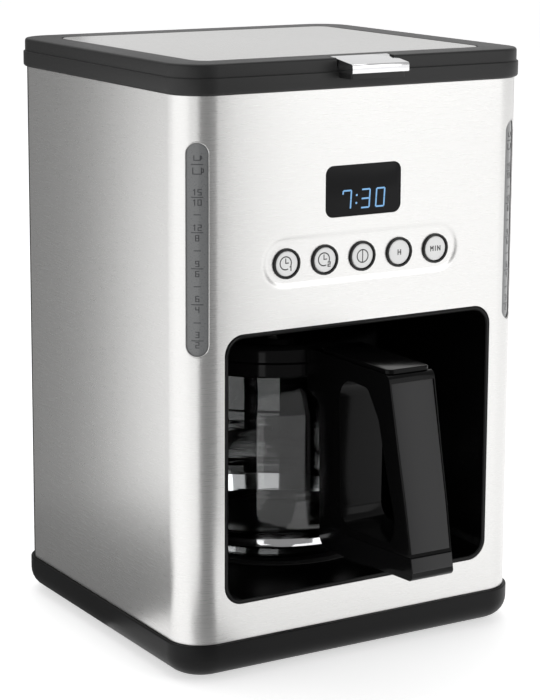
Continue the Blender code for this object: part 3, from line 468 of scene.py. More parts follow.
def tubeAlong(points, radius, sides=10, closedLoop=True):
    # round bead along a path
    bm = bmesh.new()
    count = len(points)
    rings = []
    for i, point in enumerate(points):
        before = points[i - 1] if closedLoop or i else point
        after = points[(i + 1) % count] if closedLoop or i < count - 1 else point
        along = (Vector(after) - Vector(before)).normalized()
        side = along.orthogonal() if i == 0 else lastSide - along * lastSide.dot(along)
        side = side.normalized()
        lastSide = side
        up = along.cross(side)
        rings.append([bm.verts.new(Vector(point) + (side * math.cos(math.tau * k / sides)
                                                    + up * math.sin(math.tau * k / sides)) * radius)
                      for k in range(sides)])
    loops = list(zip(rings, rings[1:]))
    for a, b in loops:
        for k in range(sides):
            bm.faces.new((a[k], a[(k + 1) % sides], b[(k + 1) % sides], b[k]))
    if closedLoop:
        # the last ring meets the first at its nearest turn
        a = rings[-1]
        b = rings[0]
        shift = min(range(sides), key=lambda s: (a[0].co - b[s].co).length)
        for k in range(sides):
            bm.faces.new((a[k], a[(k + 1) % sides], b[(k + 1 + shift) % sides], b[(k + shift) % sides]))
    else:
        bm.faces.new(rings[0])
        bm.faces.new(list(reversed(rings[-1])))
    bmesh.ops.recalc_face_normals(bm, faces=bm.faces)
    return bm


def addPrism(bm, outline, thickness, place):
    # flat outline in (x, z) with a little thickness, standing on the front
    front = [bm.verts.new(place(x, z, thickness)) for x, z in outline]
    back = [bm.verts.new(place(x, z, 0.0)) for x, z in outline]
    bm.faces.new(front)
    bm.faces.new(list(reversed(back)))
    for i in range(len(outline)):
        j = (i + 1) % len(outline)
        bm.faces.new((front[j], front[i], back[i], back[j]))


makeFinishes()
makeCamera()
makeStudio()
print("stage: camera, lights and finishes")


housingShape = {
    "corner": 0.020,
    "sheet": 0.0008,
    "wrap": math.radians(10),
    "recessHalf": (0.0655, 0.01465),   # half length and half height of the pressed pill
    "recessZ": 0.23315,
    "recessDepth": 0.0009,
    "recessSlope": 0.0030,
    "nicheCorner": 0.0115,
    "nicheHalf": 0.089,
    "nicheHeights": (0.0426, 0.1960),
    "buttonHole": 0.0086,
    "nicheTrim": 0.0002,               # how far the rim stands inside the sheet's edge
    "windowTurn": math.radians(56),
    "windowWidth": 0.013,
}


def smoothStep(value):
    value = min(max(value, 0.0), 1.0)
    return value * value * (3 - 2 * value)


def recessAt(x, z):
    halfLength, halfHeight = housingShape["recessHalf"]
    straight = halfLength - halfHeight
    beyond = max(abs(x) - straight, 0.0)
    inside = halfHeight - math.hypot(beyond, z - housingShape["recessZ"])
    return housingShape["recessDepth"] * smoothStep(inside / housingShape["recessSlope"])


def stepsBetween(start, end, step):
    count = max(1, round(abs(end - start) / step))
    return [start + (end - start) * i / count for i in range(count)]


def housingOutline(low, high, rear):
    # columns of the sheet in plan, from the rear left corner round the front to the rear right one
    corner = housingShape["corner"]
    points = []

    def arc(cx, cy, first, last, count):
        for i in range(count + 1):
            angle = math.radians(first + (last - first) * i / count)
            points.append((cx + corner * math.cos(angle), cy + corner * math.sin(angle)))

    wrap = math.degrees(housingShape["wrap"])
    arc(low.x + corner, rear - corner, 180 - wrap, 180, 5)
    arc(low.x + corner, low.y + corner, 180, 270, 24)
    dense = housingShape["recessHalf"][0] + 0.004
    points.extend((x, low.y) for x in stepsBetween(low.x + corner + 0.010, -dense, 0.008))
    points.extend((x, low.y) for x in stepsBetween(-dense, dense, 0.0010))
    points.extend((x, low.y) for x in stepsBetween(dense, high.x - corner, 0.008))
    arc(high.x - corner, low.y + corner, 270, 360, 24)
    arc(high.x - corner, rear - corner, 0, wrap, 5)
    return points


def windowStadium(side, shrink=0.0):
    low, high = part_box("steel_housing")
    windowLow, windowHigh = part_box("water_window_left")
    corner = housingShape["corner"]
    halfWidth = housingShape["windowWidth"] / 2 - shrink
    bm = roundedBlock((-0.006, -halfWidth, windowLow.z - 0.0003 + shrink),
                      (0.006, halfWidth, windowHigh.z + 0.0003 - shrink),
                      halfWidth * 0.9999, 0, 24)
    turn = housingShape["windowTurn"]
    outward = Vector((side * math.cos(turn), -math.sin(turn), 0))
    axis = Vector((side * (high.x - corner), low.y + corner, 0))
    matrix = Matrix.Translation(axis + outward * corner) @ Matrix.Rotation(math.atan2(outward.y,
                                                                                      outward.x), 4, "Z")
    bmesh.ops.transform(bm, matrix=matrix, verts=bm.verts)
    return bm


def makeHousing():
    low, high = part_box("steel_housing")
    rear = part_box("rear_cover")[1].y
    columns = housingOutline(low, high, rear)
    recessLow = housingShape["recessZ"] - housingShape["recessHalf"][1] - 0.002
    recessHigh = housingShape["recessZ"] + housingShape["recessHalf"][1] + 0.002
    rows = stepsBetween(low.z, recessLow, 0.024) + stepsBetween(recessLow, recessHigh, 0.0010)
    rows += stepsBetween(recessHigh, high.z, 0.020) + [high.z]
    bm = bmesh.new()
    grid = []
    for z in rows:
        line = []
        for x, y in columns:
            depth = recessAt(x, z) if abs(y - low.y) < 1e-6 else 0.0
            line.append(bm.verts.new((x, y + depth, z)))
        grid.append(line)
    for lower, upper in zip(grid, grid[1:]):
        for i in range(len(columns) - 1):
            bm.faces.new((lower[i], lower[i + 1], upper[i + 1], upper[i]))
    bmesh.ops.recalc_face_normals(bm, faces=bm.faces)
    sheet = bpy.data.objects.new("sheet", meshFrom(bm, "sheet"))
    scene.collection.objects.link(sheet)
    solid = sheet.modifiers.new("solid", "SOLIDIFY")
    solid.thickness = housingShape["sheet"]
    solid.offset = -1.0
    graph = bpy.context.evaluated_depsgraph_get()
    mesh = bpy.data.meshes.new_from_object(sheet.evaluated_get(graph))
    bpy.data.objects.remove(sheet, do_unlink=True)
    front = low.y
    half = housingShape["nicheHalf"]
    bottom, top = housingShape["nicheHeights"]
    cutters = [roundedBlock((-half, front - 0.01, bottom), (half, front + 0.01, top),
                            housingShape["nicheCorner"], 1, 16)]
    lensLow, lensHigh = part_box("display_lens")
    clear = 0.0003
    cutters.append(roundedBlock((lensLow.x - clear, front - 0.01, lensLow.z - clear),
                                (lensHigh.x + clear, front + 0.01, lensHigh.z + clear), 0.005, 1, 10))
    hole = housingShape["buttonHole"]
    for name in buttonNames:
        buttonLow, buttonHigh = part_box("button_" + name)
        centre = (buttonLow + buttonHigh) / 2
        cutters.append(lathed([(0, 0.01), (hole, 0.01), (hole, -0.01), (0, -0.01)],
                              (centre.x, front, centre.z), 64, "Y"))
    cutters.append(windowStadium(-1))
    cutters.append(windowStadium(1))
    mesh = carve(mesh, cutters)
    newPiece("steelHousing", mesh, "steel", "root", "steel", "steel_housing")


buttonNames = ("program_one", "program_two", "power", "hour", "minute")
makeHousing()
print("stage: steel housing")


frameShape = {
    "corners": 22,         # steps round each upright corner
    "trayRound": 0.012,
    "grown": 0.002,        # how much rounder tray and collar corners are than the steel's
    "coverClear": 0.0003,
    "collarWall": 0.012,
    "collarCavity": (0.2, 0.5),
    "collarEnds": (0.0498, 0.063),
    "plateGap": 0.0009,
    "plateDrop": 0.0017,
    "plateCorner": 0.009,
    "notchGap": 0.0004,
    "knuckle": 0.0035,
    "knuckleEnds": (0.036, 0.0495),
    "notchDepth": 0.0047,
    "tabSeat": 0.0044,
    "tabLip": 0.0027,
}


def bodyBlock(low, high, corner, **edges):
    return roundedBlock(low, high, corner, 2, frameShape["corners"], **edges)


def makeTray():
    low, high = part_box("base_tray")
    corner = housingShape["corner"] + frameShape["grown"]
    mesh = meshFrom(bodyBlock(low, high, corner, under=frameShape["trayRound"], over=0.0008, edgeSegments=8),
                    "tray")
    coverLow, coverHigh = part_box("bottom_cover")
    clear = frameShape["coverClear"]
    recess = roundedBlock((coverLow.x - clear, coverLow.y - clear, low.z - 0.01),
                          (coverHigh.x + clear, coverHigh.y + clear, coverHigh.z + 0.0005), 0.0088, 2, 10)
    newPiece("baseTray", carve(mesh, [recess]), "baseBlack", "root", "black_gloss", "base_tray")


def knuckle(firstX, lastX, y, z):
    radius = frameShape["knuckle"]
    length = (lastX - firstX) / 2
    return lathed([(0, length), (radius, length), (radius, -length), (0, -length)],
                  ((firstX + lastX) / 2, y, z), 40, "X")


def makeCollar():
    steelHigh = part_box("steel_housing")[1]
    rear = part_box("rear_cover")[1].y
    low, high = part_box("top_collar")
    side = high.x
    front = low.y
    back = rear + (side - steelHigh.x)
    corner = housingShape["corner"] + frameShape["grown"]
    mesh = meshFrom(bodyBlock((-side, front, steelHigh.z + 0.0003), (side, back, high.z), corner,
                              under=0.0016, over=0.0006), "collar")
    wall = frameShape["collarWall"]
    bottom, top = frameShape["collarCavity"]
    mesh = carve(mesh,
                 [bodyBlock((-side + wall, front + wall, bottom), (side - wall, back - wall, top), 0.011)])
    newPiece("topCollar", mesh, "satinBlack", "root", "black_gloss", "top_collar")
    y, z = middleOf("hinge_pin_right")[1:]
    for sign, label in ((-1, "Left"), (1, "Right")):
        ends = sorted(sign * end for end in frameShape["collarEnds"])
        mesh = meshFrom(knuckle(ends[0], ends[1], y, z), "collarKnuckle")
        arm = roundedBlock((ends[0], rear, z - 0.0048), (ends[1], y, z - 0.0008), 0.0004, 0)
        mesh = carve(mesh, [arm], "UNION")
        newPiece("collarKnuckle" + label, mesh, "satinBlack", "root", "black_gloss", "top_collar")


def makeLidFrame():
    low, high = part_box("lid_frame")
    plateLow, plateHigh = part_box("lid_plate")
    tabLow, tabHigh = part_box("lid_tab")
    coverLow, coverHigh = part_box("lid_inner_cover")
    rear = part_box("rear_cover")[1].y + 0.001
    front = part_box("steel_housing")[0].y - 0.001
    y, z = middleOf("hinge_pin_right")[1:]
    top = plateHigh.z
    mesh = meshFrom(bodyBlock((low.x, front, z), (high.x, rear, top), housingShape["corner"] + 0.001,
                              under=0.0010, over=0.0016), "lidFrame")
    gap = frameShape["plateGap"]
    recess = roundedBlock((plateLow.x - gap, plateLow.y - gap, top - frameShape["plateDrop"]),
                          (plateHigh.x + gap, plateHigh.y + gap, top + 0.01),
                          frameShape["plateCorner"] + gap, 2, 14)
    cavity = roundedBlock((coverLow.x - 0.0005, coverLow.y - 0.0005, z - 0.01),
                          (coverHigh.x + 0.0005, coverHigh.y + 0.0005, coverHigh.z + 0.0004), 0.008, 2, 10)
    clear = frameShape["notchGap"]
    notch = roundedBlock((tabLow.x - clear, front - 0.002, top - frameShape["notchDepth"]),
                         (tabHigh.x + clear, tabHigh.y + clear, top + 0.01))
    mesh = carve(mesh, [recess, cavity, notch])
    newPiece("lidFrame", mesh, "satinBlack", "lid", "black_gloss", "lid_frame")
    tongue = roundedBlock((tabLow.x + 0.001, tabLow.y + 0.0025, z + 0.0001),
                          (tabHigh.x - 0.001, front + 0.002, tabLow.z - 0.0002),
                          0.001, 2, 4)
    newPiece("lidTongue", meshFrom(tongue, "lidTongue"), "satinBlack", "lid", "black_gloss", "lid_frame")
    for sign, label in ((-1, "Left"), (1, "Right")):
        ends = sorted(sign * end for end in frameShape["knuckleEnds"])
        knob = meshFrom(knuckle(ends[0], ends[1], y, z), "lidKnuckle")
        arm = roundedBlock((ends[0], rear - 0.002, z + 0.0002), (ends[1], y, z + frameShape["knuckle"]),
                           0.0004, 0)
        newPiece("lidKnuckle" + label, carve(knob, [arm], "UNION"), "satinBlack", "lid", "black_gloss",
                 "lid_frame")
    plate = roundedBlock(plateLow, plateHigh, frameShape["plateCorner"], 2, 14, over=0.0006)
    newPiece("lidPlate", meshFrom(plate, "lidPlate"), "steelLid", "lid", "steel", "lid_plate")
    seat = top - frameShape["tabSeat"]
    back = front - 0.0004
    outline = filleted([(tabHigh.y, tabHigh.z, 0.0012), (tabHigh.y, seat, 0), (back, seat, 0),
                        (back, tabLow.z, 0),
                        (tabLow.y, tabLow.z, 0.0009), (tabLow.y, top - frameShape["tabLip"], 0.0013)], 6)
    tab = extruded(outline, [], tabHigh.x, 0.0006)
    newPiece("lidTab", meshFrom(tab, "lidTab"), "chrome", "lid", "chrome", "lid_tab")


makeTray()
makeCollar()
makeLidFrame()
print("stage: tray, collar and lid")


windowShape = {
    "set": 0.0010,
    "thick": 0.0018,
    "lip": 0.00042,
    "stroke": 0.00042,
    "digitHeight": 0.0030,
    "digitWidth": 0.0017,
}

# height, kind, text
scaleMarks = [
    (0.2940, "cup", 0.0034), (0.2905, "line", 0.0062), (0.2870, "cup", 0.0046),
    (0.2756, "text", "15"), (0.2728, "line", 0.0062), (0.2700, "text", "10"), (0.2634, "line", 0.0034),
    (0.2564, "text", "12"), (0.2537, "line", 0.0062), (0.2507, "text", "8"), (0.2438, "line", 0.0034),
    (0.2367, "text", "9"), (0.2340, "line", 0.0062), (0.2312, "text", "6"), (0.2242, "line", 0.0034),
    (0.2175, "text", "6"), (0.2143, "line", 0.0062), (0.2115, "text", "4"), (0.2043, "line", 0.0034),
    (0.1977, "text", "3"), (0.1944, "line", 0.0062), (0.1920, "text", "2"),
]

# strokes on a grid one wide and two high
glyphs = {
    "0": [(0, 0, 1, 0), (1, 0, 1, 2), (1, 2, 0, 2), (0, 2, 0, 0)],
    "1": [(0.5, 0, 0.5, 2), (0.1, 1.6, 0.5, 2)],
    "2": [(0, 2, 1, 2), (1, 2, 1, 1), (1, 1, 0, 1), (0, 1, 0, 0), (0, 0, 1, 0)],
    "3": [(0, 2, 1, 2), (1, 2, 1, 0), (1, 0, 0, 0), (0.2, 1, 1, 1)],
    "4": [(0, 2, 0, 1), (0, 1, 1, 1), (1, 2, 1, 0)],
    "5": [(1, 2, 0, 2), (0, 2, 0, 1), (0, 1, 1, 1), (1, 1, 1, 0), (1, 0, 0, 0)],
    "6": [(1, 2, 0, 2), (0, 2, 0, 0), (0, 0, 1, 0), (1, 0, 1, 1), (1, 1, 0, 1)],
    "8": [(0, 0, 1, 0), (1, 0, 1, 2), (1, 2, 0, 2), (0, 2, 0, 0), (0, 1, 1, 1)],
    "9": [(1, 1, 0, 1), (0, 1, 0, 2), (0, 2, 1, 2), (1, 2, 1, 0), (1, 0, 0, 0)],
    "H": [(0, 0, 0, 2), (1, 0, 1, 2), (0, 1, 1, 1)],
    "M": [(0, 0, 0, 2), (0, 2, 0.5, 1), (0.5, 1, 1, 2), (1, 2, 1, 0)],
    "I": [(0.5, 0, 0.5, 2)],
    "N": [(0, 0, 0, 2), (0, 2, 1, 0), (1, 0, 1, 2)],
}


def strokeBars(text, height, width, between):
    # bars of each character, centred on the middle of the text
    whole = len(text) * width + (len(text) - 1) * between
    bars = []
    for i, letter in enumerate(text):
        left = -whole / 2 + i * (width + between)
        for x0, z0, x1, z1 in glyphs[letter]:
            bars.append(((left + x0 * width, (z0 / 2 - 0.5) * height),
                         (left + x1 * width, (z1 / 2 - 0.5) * height)))
    return bars


def ringBars(radius, count=28, first=0.0, last=math.tau):
    points = [(radius * math.cos(first + (last - first) * i / count),
               radius * math.sin(first + (last - first) * i / count))
              for i in range(count + 1)]
    return list(zip(points, points[1:]))


def barOutline(start, end, width):
    start = Vector(start)
    end = Vector(end)
    along = (end - start).normalized() * width / 2
    across = Vector((-along.y, along.x))
    return [start - along - across, end + along - across, end + along + across, start - along + across]


def shortBars(bars, longest=0.0005):
    # long bars in short steps, so that they follow a curved face
    steps = []
    for start, end in bars:
        start = Vector(start)
        end = Vector(end)
        count = max(1, math.ceil((end - start).length / longest))
        steps.extend((start.lerp(end, i / count), start.lerp(end, (i + 1) / count)) for i in range(count))
    return steps


def drawBars(bm, bars, width, thickness, place):
    for start, end in bars:
        addPrism(bm, barOutline(start, end, width), thickness, place)


def cornerPlace(side, lift):
    # flat drawing wrapped onto a front corner: u runs round it to the right, v is the height
    low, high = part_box("steel_housing")
    corner = housingShape["corner"]
    axis = Vector((side * (high.x - corner), low.y + corner, 0))
    middle = math.atan2(-math.sin(housingShape["windowTurn"]), side * math.cos(housingShape["windowTurn"]))
    radius = corner - windowShape["set"]

    def place(u, v, outward):
        reach = radius + lift + outward
        angle = middle + u / radius
        return axis + Vector((reach * math.cos(angle), reach * math.sin(angle), v))

    return place


def markBars(kind, size):
    if kind == "line":
        return [((-size / 2, 0), (size / 2, 0))]
    if kind == "text":
        return strokeBars(size, windowShape["digitHeight"], windowShape["digitWidth"], 0.0009)
    half = size / 2
    deep = size * 0.72
    return [((-half, deep / 2), (-half, -deep / 2)), ((-half, -deep / 2), (half, -deep / 2)),
            ((half, -deep / 2), (half, deep / 2)),
            ((half, deep / 3), (half + deep / 3, deep / 3)),
            ((half + deep / 3, deep / 3), (half + deep / 3, -deep / 5)),
            ((half + deep / 3, -deep / 5), (half, -deep / 5))]


def makeWindow(side, label):
    low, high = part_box("steel_housing")
    corner = housingShape["corner"]
    axis = Vector((side * (high.x - corner), low.y + corner, 0))
    windowLow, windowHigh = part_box("water_window_" + label.lower())
    outer = corner - windowShape["set"]
    inner = outer - windowShape["thick"]
    ring = lathed([(inner, windowHigh.z + 0.001), (outer, windowHigh.z + 0.001),
                   (outer, windowLow.z - 0.001),
                   (inner, windowLow.z - 0.001)], axis, 220, "Z", True)
    mesh = carve(meshFrom(ring, "window"), [windowStadium(side, 0.0003)], "INTERSECT")
    newPiece("waterWindow" + label, mesh, "window", "root", "smoked_clear", "water_window_" + label.lower())
    bm = bmesh.new()
    place = cornerPlace(side, 0.00002)
    for height, kind, size in scaleMarks:
        shifted = [((a[0], a[1] + height), (b[0], b[1] + height)) for a, b in markBars(kind, size)]
        drawBars(bm, shortBars(shifted), windowShape["stroke"], 0.00005, place)
    bmesh.ops.recalc_face_normals(bm, faces=bm.faces)
    newPiece("windowScale" + label, meshFrom(bm, "windowScale"), "printGrey", "root", "black_matte")
    half = housingShape["windowWidth"] / 2
    lip = windowShape["lip"]
    onSteel = cornerPlace(side, windowShape["set"] - lip * 1.1)
    tall = (windowHigh.z - windowLow.z) / 2
    middle = (windowHigh.z + windowLow.z) / 2
    path = []
    for sign in (1, -1):
        for i in range(17):
            angle = math.pi * i / 16 + (0 if sign > 0 else math.pi)
            path.append(onSteel((half - lip * 0.2) * math.cos(angle),
                                middle + sign * (tall - half) + (half - lip * 0.2) * math.sin(angle), 0.0))
    newPiece("windowLip" + label, meshFrom(tubeAlong(path, lip, 8), "windowLip"), "steel", "root", "steel")


makeWindow(-1, "Left")
makeWindow(1, "Right")
print("stage: water windows")


controlShape = {
    "capEdge": 0.0007,
    "capProud": -0.0002,
    "capRadius": 0.0071,
    "skirt": -0.0028,      # heights are from the housing's front, outward
    "capBack": -0.0036,
    "flange": 0.001,
    "ringOuter": 0.0079,
    "ringWidth": 0.00065,
    "ringProud": -0.0004,
    "icon": 0.00060,
    "iconThick": 0.00004,
    "digitHeight": 0.0102,
    "digitWidth": 0.0054,
    "segment": 0.00105,
    "slant": 0.06,
}

segments = {
    "a": (0.10, 2, 0.90, 2), "b": (1, 1.90, 1, 1.10), "c": (1, 0.90, 1, 0.10), "d": (0.10, 0, 0.90, 0),
    "e": (0, 0.90, 0, 0.10), "f": (0, 1.90, 0, 1.10), "g": (0.10, 1, 0.90, 1),
    "h": (0, 1.90, 0, 1.70),
}
shown = {"7": "abch", "3": "abcdg", "0": "abcdef"}


def makeButtons():
    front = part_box("steel_housing")[0].y
    skirt = controlShape["skirt"]
    back = controlShape["capBack"]
    for name in buttonNames:
        node = "button_" + name
        low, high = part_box(node)
        x = (low.x + high.x) / 2
        z = (low.z + high.z) / 2
        radius = controlShape["capRadius"]
        face = controlShape["capProud"]
        edge = controlShape["capEdge"]
        profile = [(0, face), (radius - edge * 1.6, face)]
        for step in range(1, 6):
            angle = math.pi / 2 * step / 6
            profile.append((radius - edge + edge * math.sin(angle), face - edge + edge * math.cos(angle)))
        flange = radius + controlShape["flange"]
        profile += [(radius, face - edge), (radius, skirt), (flange, skirt), (flange, back), (0, back)]
        camel = "".join(word.capitalize() for word in name.split("_"))
        cap = meshFrom(lathed(profile, (x, front, z), 72, "Y"), "cap")
        newPiece("cap" + camel, cap, "button", name + "_button", "light_grey", node)
        bm = bmesh.new()

        def place(u, v, outward, x=x, z=z):
            return Vector((x + u, front - face - outward - 0.00001, z + v))

        drawBars(bm, iconBars(name), controlShape["icon"], controlShape["iconThick"], place)
        bmesh.ops.recalc_face_normals(bm, faces=bm.faces)
        newPiece("icon" + camel, meshFrom(bm, "icon"), "iconGrey", name + "_button", "black_matte")
        makeRing(camel, x, z, front)


def shifted(bars, x, y):
    return [((a[0] + x, a[1] + y), (b[0] + x, b[1] + y)) for a, b in bars]


def iconBars(name):
    if name == "hour":
        return strokeBars("H", 0.0026, 0.0018, 0)
    if name == "minute":
        return strokeBars("MIN", 0.0024, 0.0017, 0.0007)
    if name == "power":
        return ringBars(0.0036) + [((0, 0.0030), (0, -0.0030))]
    clock = shifted(ringBars(0.0036, 24, math.radians(-20), math.radians(290)), -0.0008, 0.0004)
    hands = [((-0.0008, 0.0004), (-0.0008, 0.0028)), ((-0.0008, 0.0004), (0.0009, 0.0004))]
    digit = strokeBars("1" if name == "program_one" else "2", 0.0024, 0.0014, 0)
    return clock + hands + shifted(digit, 0.0026, -0.0026)


def makeRing(camel, x, z, front):
    outer = controlShape["ringOuter"]
    inner = outer - controlShape["ringWidth"]
    proud = controlShape["ringProud"]
    profile = [(inner, proud - 0.0003), (inner + 0.0003, proud), (outer - 0.0003, proud),
               (outer, proud - 0.0003),
               (outer, -0.0020), (inner, -0.0020)]
    ring = lathed(profile, (x, front, z), 72, "Y", True)
    newPiece("ring" + camel, meshFrom(ring, "ring"), "glossBlack", "root", "black_gloss")


displayShape = {
    "lensSpread": 0.0001,
    "lensCorner": 0.0048,
    "lineShare": 0.2625,   # height of the digits' middle as a share of the lens
    "lineRise": 0.0016,
    "digits": ((-0.0136, "7"), (-0.0012, "3"), (0.0086, "0")),
    "barShare": 0.86,
    "dotPlace": -0.0045,
    "dotHeights": (-0.0022, 0.0022),
    "dotRadius": 0.00062,
    "dotSteps": 14,
    "thick": 0.00003,
}


def makeDisplay():
    low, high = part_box("display_lens")
    front = low.y
    wide = displayShape["lensSpread"]
    lens = roundedBlock((low.x - wide, low.y, low.z - wide), (high.x + wide, high.y, high.z + wide),
                        displayShape["lensCorner"], 1, 12, under=0.0004)
    newPiece("displayLens", meshFrom(lens, "displayLens"), "lens", "root", "display", "display_lens")
    height = controlShape["digitHeight"]
    width = controlShape["digitWidth"]
    middle = low.z + displayShape["lineShare"] * (high.z - low.z) + displayShape["lineRise"]
    thick = displayShape["thick"]
    bar = controlShape["segment"] * displayShape["barShare"]
    bm = bmesh.new()

    def place(u, v, outward):
        return Vector((u + controlShape["slant"] * v, front - outward - 0.00001, middle + v))

    for left, digit in displayShape["digits"]:
        for key in shown[digit]:
            x0, z0, x1, z1 = segments[key]
            start = (left + x0 * width, (z0 / 2 - 0.5) * height)
            end = (left + x1 * width, (z1 / 2 - 0.5) * height)
            addPrism(bm, barOutline(start, end, bar), thick, place)
    radius = displayShape["dotRadius"]
    steps = displayShape["dotSteps"]
    for v in displayShape["dotHeights"]:
        turns = [math.tau * i / steps for i in range(steps)]
        dot = [(displayShape["dotPlace"] + radius * math.cos(turn),
                v + radius * math.sin(turn)) for turn in turns]
        addPrism(bm, dot, thick, place)
    bmesh.ops.recalc_face_normals(bm, faces=bm.faces)
    newPiece("displayDigits", meshFrom(bm, "displayDigits"), "glow", "root", "display")


makeButtons()
makeDisplay()
print("stage: controls")


nicheShape = {
    "rim": 0.0019,
    "rimDepth": 0.0022,
    "rimEdge": 0.0005,
}


def nicheBox(inset, near, far):
    shrink = housingShape["nicheTrim"] + inset
    half = housingShape["nicheHalf"] - shrink
    bottom, top = housingShape["nicheHeights"]
    corner = housingShape["nicheCorner"] - inset
    return roundedBlock((-half, near, bottom + shrink), (half, far, top - shrink), corner, 1, 16)


def makeNiche():
    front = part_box("steel_housing")[0].y
    rim = nicheShape["rim"]
    depth = nicheShape["rimDepth"]
    ring = carve(meshFrom(nicheBox(0.0, front + 0.0001, front + depth), "rim"),
                 [nicheBox(rim, front - 0.1, front + 0.1)])
    bm = bmesh.new()
    bm.from_mesh(ring)
    ahead = front + 0.0002
    edges = [e for e in bm.edges if all(v.co.y < ahead for v in e.verts) and e.calc_face_angle(0) > 1.0]
    bmesh.ops.bevel(bm, geom=edges, offset=nicheShape["rimEdge"], segments=3, profile=0.5, affect="EDGES")
    newPiece("nicheRim", meshFrom(bm, "nicheRim"), "glossBlack", "root", "black_gloss")


makeNiche()
print("stage: niche rim")


carafeShape = {
    "glass": 0.0025,
    "steps": 128,
    "edge": 0.0013,
    "ringInset": 0.0029,
    "halfHandle": 0.015,
    "capRound": 0.0030,
    "taper": 0.10,         # share of its width that the grip loses from its top to its foot
    "panelHalf": 0.0140,
    "panelThick": 0.0015,
}


def splined(points, between=5):
    points = [Vector(p) for p in points]
    ends = [points[0] * 2 - points[1], *points, points[-1] * 2 - points[-2]]
    path = []
    for i in range(1, len(ends) - 2):
        a, b, c, d = ends[i - 1:i + 3]
        for step in range(between):
            t = step / between
            path.append(0.5 * (2 * b + (c - a) * t + (2 * a - 5 * b + 4 * c - d) * t ** 2
                               + (3 * b - a - 3 * c + d) * t ** 3))
    path.append(points[-1])
    return path


def roundOf(node):
    low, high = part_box(node)
    return ((low.x + high.x) / 2, (low.y + high.y) / 2, 0), (high.x - low.x) / 2


def makeGlass():
    low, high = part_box("carafe_glass")
    centre, big = roundOf("carafe_glass")
    neck = big - 0.012
    outer = splined([(neck, high.z), (neck, high.z - 0.009), (neck + 0.006, high.z - 0.016),
                     (big - 0.002, high.z - 0.024),
                     (big, high.z - 0.035), (big, low.z + 0.040), (big - 0.001, low.z + 0.022),
                     (big - 0.004, low.z + 0.013), (big - 0.009, low.z + 0.005), (big - 0.016, low.z)], 5)
    outer = [(min(r, big), max(z, low.z)) for r, z in outer]
    wall = carafeShape["glass"]
    inner = [(r - wall, max(z, low.z + wall)) for r, z in outer]
    inner = [point for i, point in enumerate(inner) if i == 0 or point[1] < inner[i - 1][1] - 1e-5]
    profile = [(0, low.z + wall), *reversed(inner), *outer, (0, low.z)]
    glass = lathed(profile, centre, carafeShape["steps"])
    newPiece("carafeGlass", meshFrom(glass, "carafeGlass"), "glass", "carafe", "glass", "carafe_glass")


def makeHighlightRing():
    # an invented chrome band in the glass's lower curve: its reflection is a painted highlight standing in
    # for the bright band on the glass base, and the carafe has no such ring
    centre, radius = roundOf("carafe_glass")
    radius -= carafeShape["ringInset"]
    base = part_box("carafe_glass")[0].z
    profile = [(radius - 0.004, base + 0.0190), (radius - 0.0005, base + 0.0188), (radius, base + 0.0180),
               (radius, base + 0.0108), (radius - 0.0006, base + 0.0100), (radius - 0.006, base + 0.0094)]
    ring = lathed(profile, centre, carafeShape["steps"], "Z", True)
    newPiece("carafeHighlightRing", meshFrom(ring, "carafeHighlightRing"), "chrome", "carafe", "chrome")


def makeBand():
    low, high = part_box("carafe_band")
    centre, radius = roundOf("carafe_band")
    inner = radius - 0.005
    profile = [(inner, high.z), (radius - 0.001, high.z), (radius, high.z - 0.001), (radius, low.z + 0.0012),
               (radius - 0.0012, low.z), (inner, low.z)]
    band = lathed(profile, centre, carafeShape["steps"], "Z", True)
    newPiece("carafeBand", meshFrom(band, "carafeBand"), "glossBlack", "carafe", "black_gloss",
             "carafe_band")


def fromCarafe(points):
    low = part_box("carafe_glass")[0]
    return [(low.y + y, low.z + z, radius) for y, z, radius in points]


def tapered(bm):
    # the grip narrows evenly from the top of the handle down to its end cap
    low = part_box("carafe_glass")[0]
    top = low.z + handleShape["top"]
    bottom = low.z + handleShape["taperFoot"]
    for vert in bm.verts:
        vert.co.x *= 1 - carafeShape["taper"] * (top - vert.co.z) / (top - bottom)
    return bm


def gripShape(points, half, edge=0.0, holes=(), edgeSegments=3):
    inner = [filleted(fromCarafe(hole)) for hole in holes]
    return tapered(extruded(filleted(fromCarafe(points)), inner, half, edge, edgeSegments))


# outlines as (y, z) or (y, z, radius) from the front of the glass and its foot
handleLine = [(-0.0774, 0.1240), (-0.0860, 0.0871), (-0.0924, 0.0601), (-0.0979, 0.0330)]
handleShape = {
    "top": 0.1284,
    "taperFoot": 0.0160,
    "clear": 0.0003,
    "strut": [(-0.006, 0.026, 0), (-0.006, 0.099, 0.004)],
    "strutTop": 0.104,
    "outside": [(-0.0770, 0.1284, 0.004), (-0.0860, 0.0871, 0.2), (-0.0924, 0.0601, 0.2),
                (-0.0982, 0.0312, 0)],
    "opening": [(-0.0285, 0.0330, 0.010), (-0.0280, 0.1180, 0.012), (-0.0560, 0.1175, 0.006),
                (-0.0670, 0.1020, 0.02),
                (-0.0760, 0.0700, 0.05), (-0.0835, 0.0480, 0.02), (-0.0800, 0.0340, 0.008)],
    "endCap": [(-0.006, 0.0257, 0), (-0.006, 0.0145, 0.006), (-0.043, 0.0134, 0.03), (-0.060, 0.0160, 0.03),
               (-0.0985, 0.0182, 0.003), (-0.1004, 0.0205, 0.002), (-0.0985, 0.0309, 0)],
    "seam": 0.0300,
    "capFace": [(-0.0987, 0.0306, 0), (-0.10045, 0.0226, 0.001), (-0.0997, 0.0226, 0),
                (-0.0979, 0.0306, 0)],
    "faceInset": 0.0004,
    "notchHalf": 0.0088,
    "notchReach": 0.0045,
}


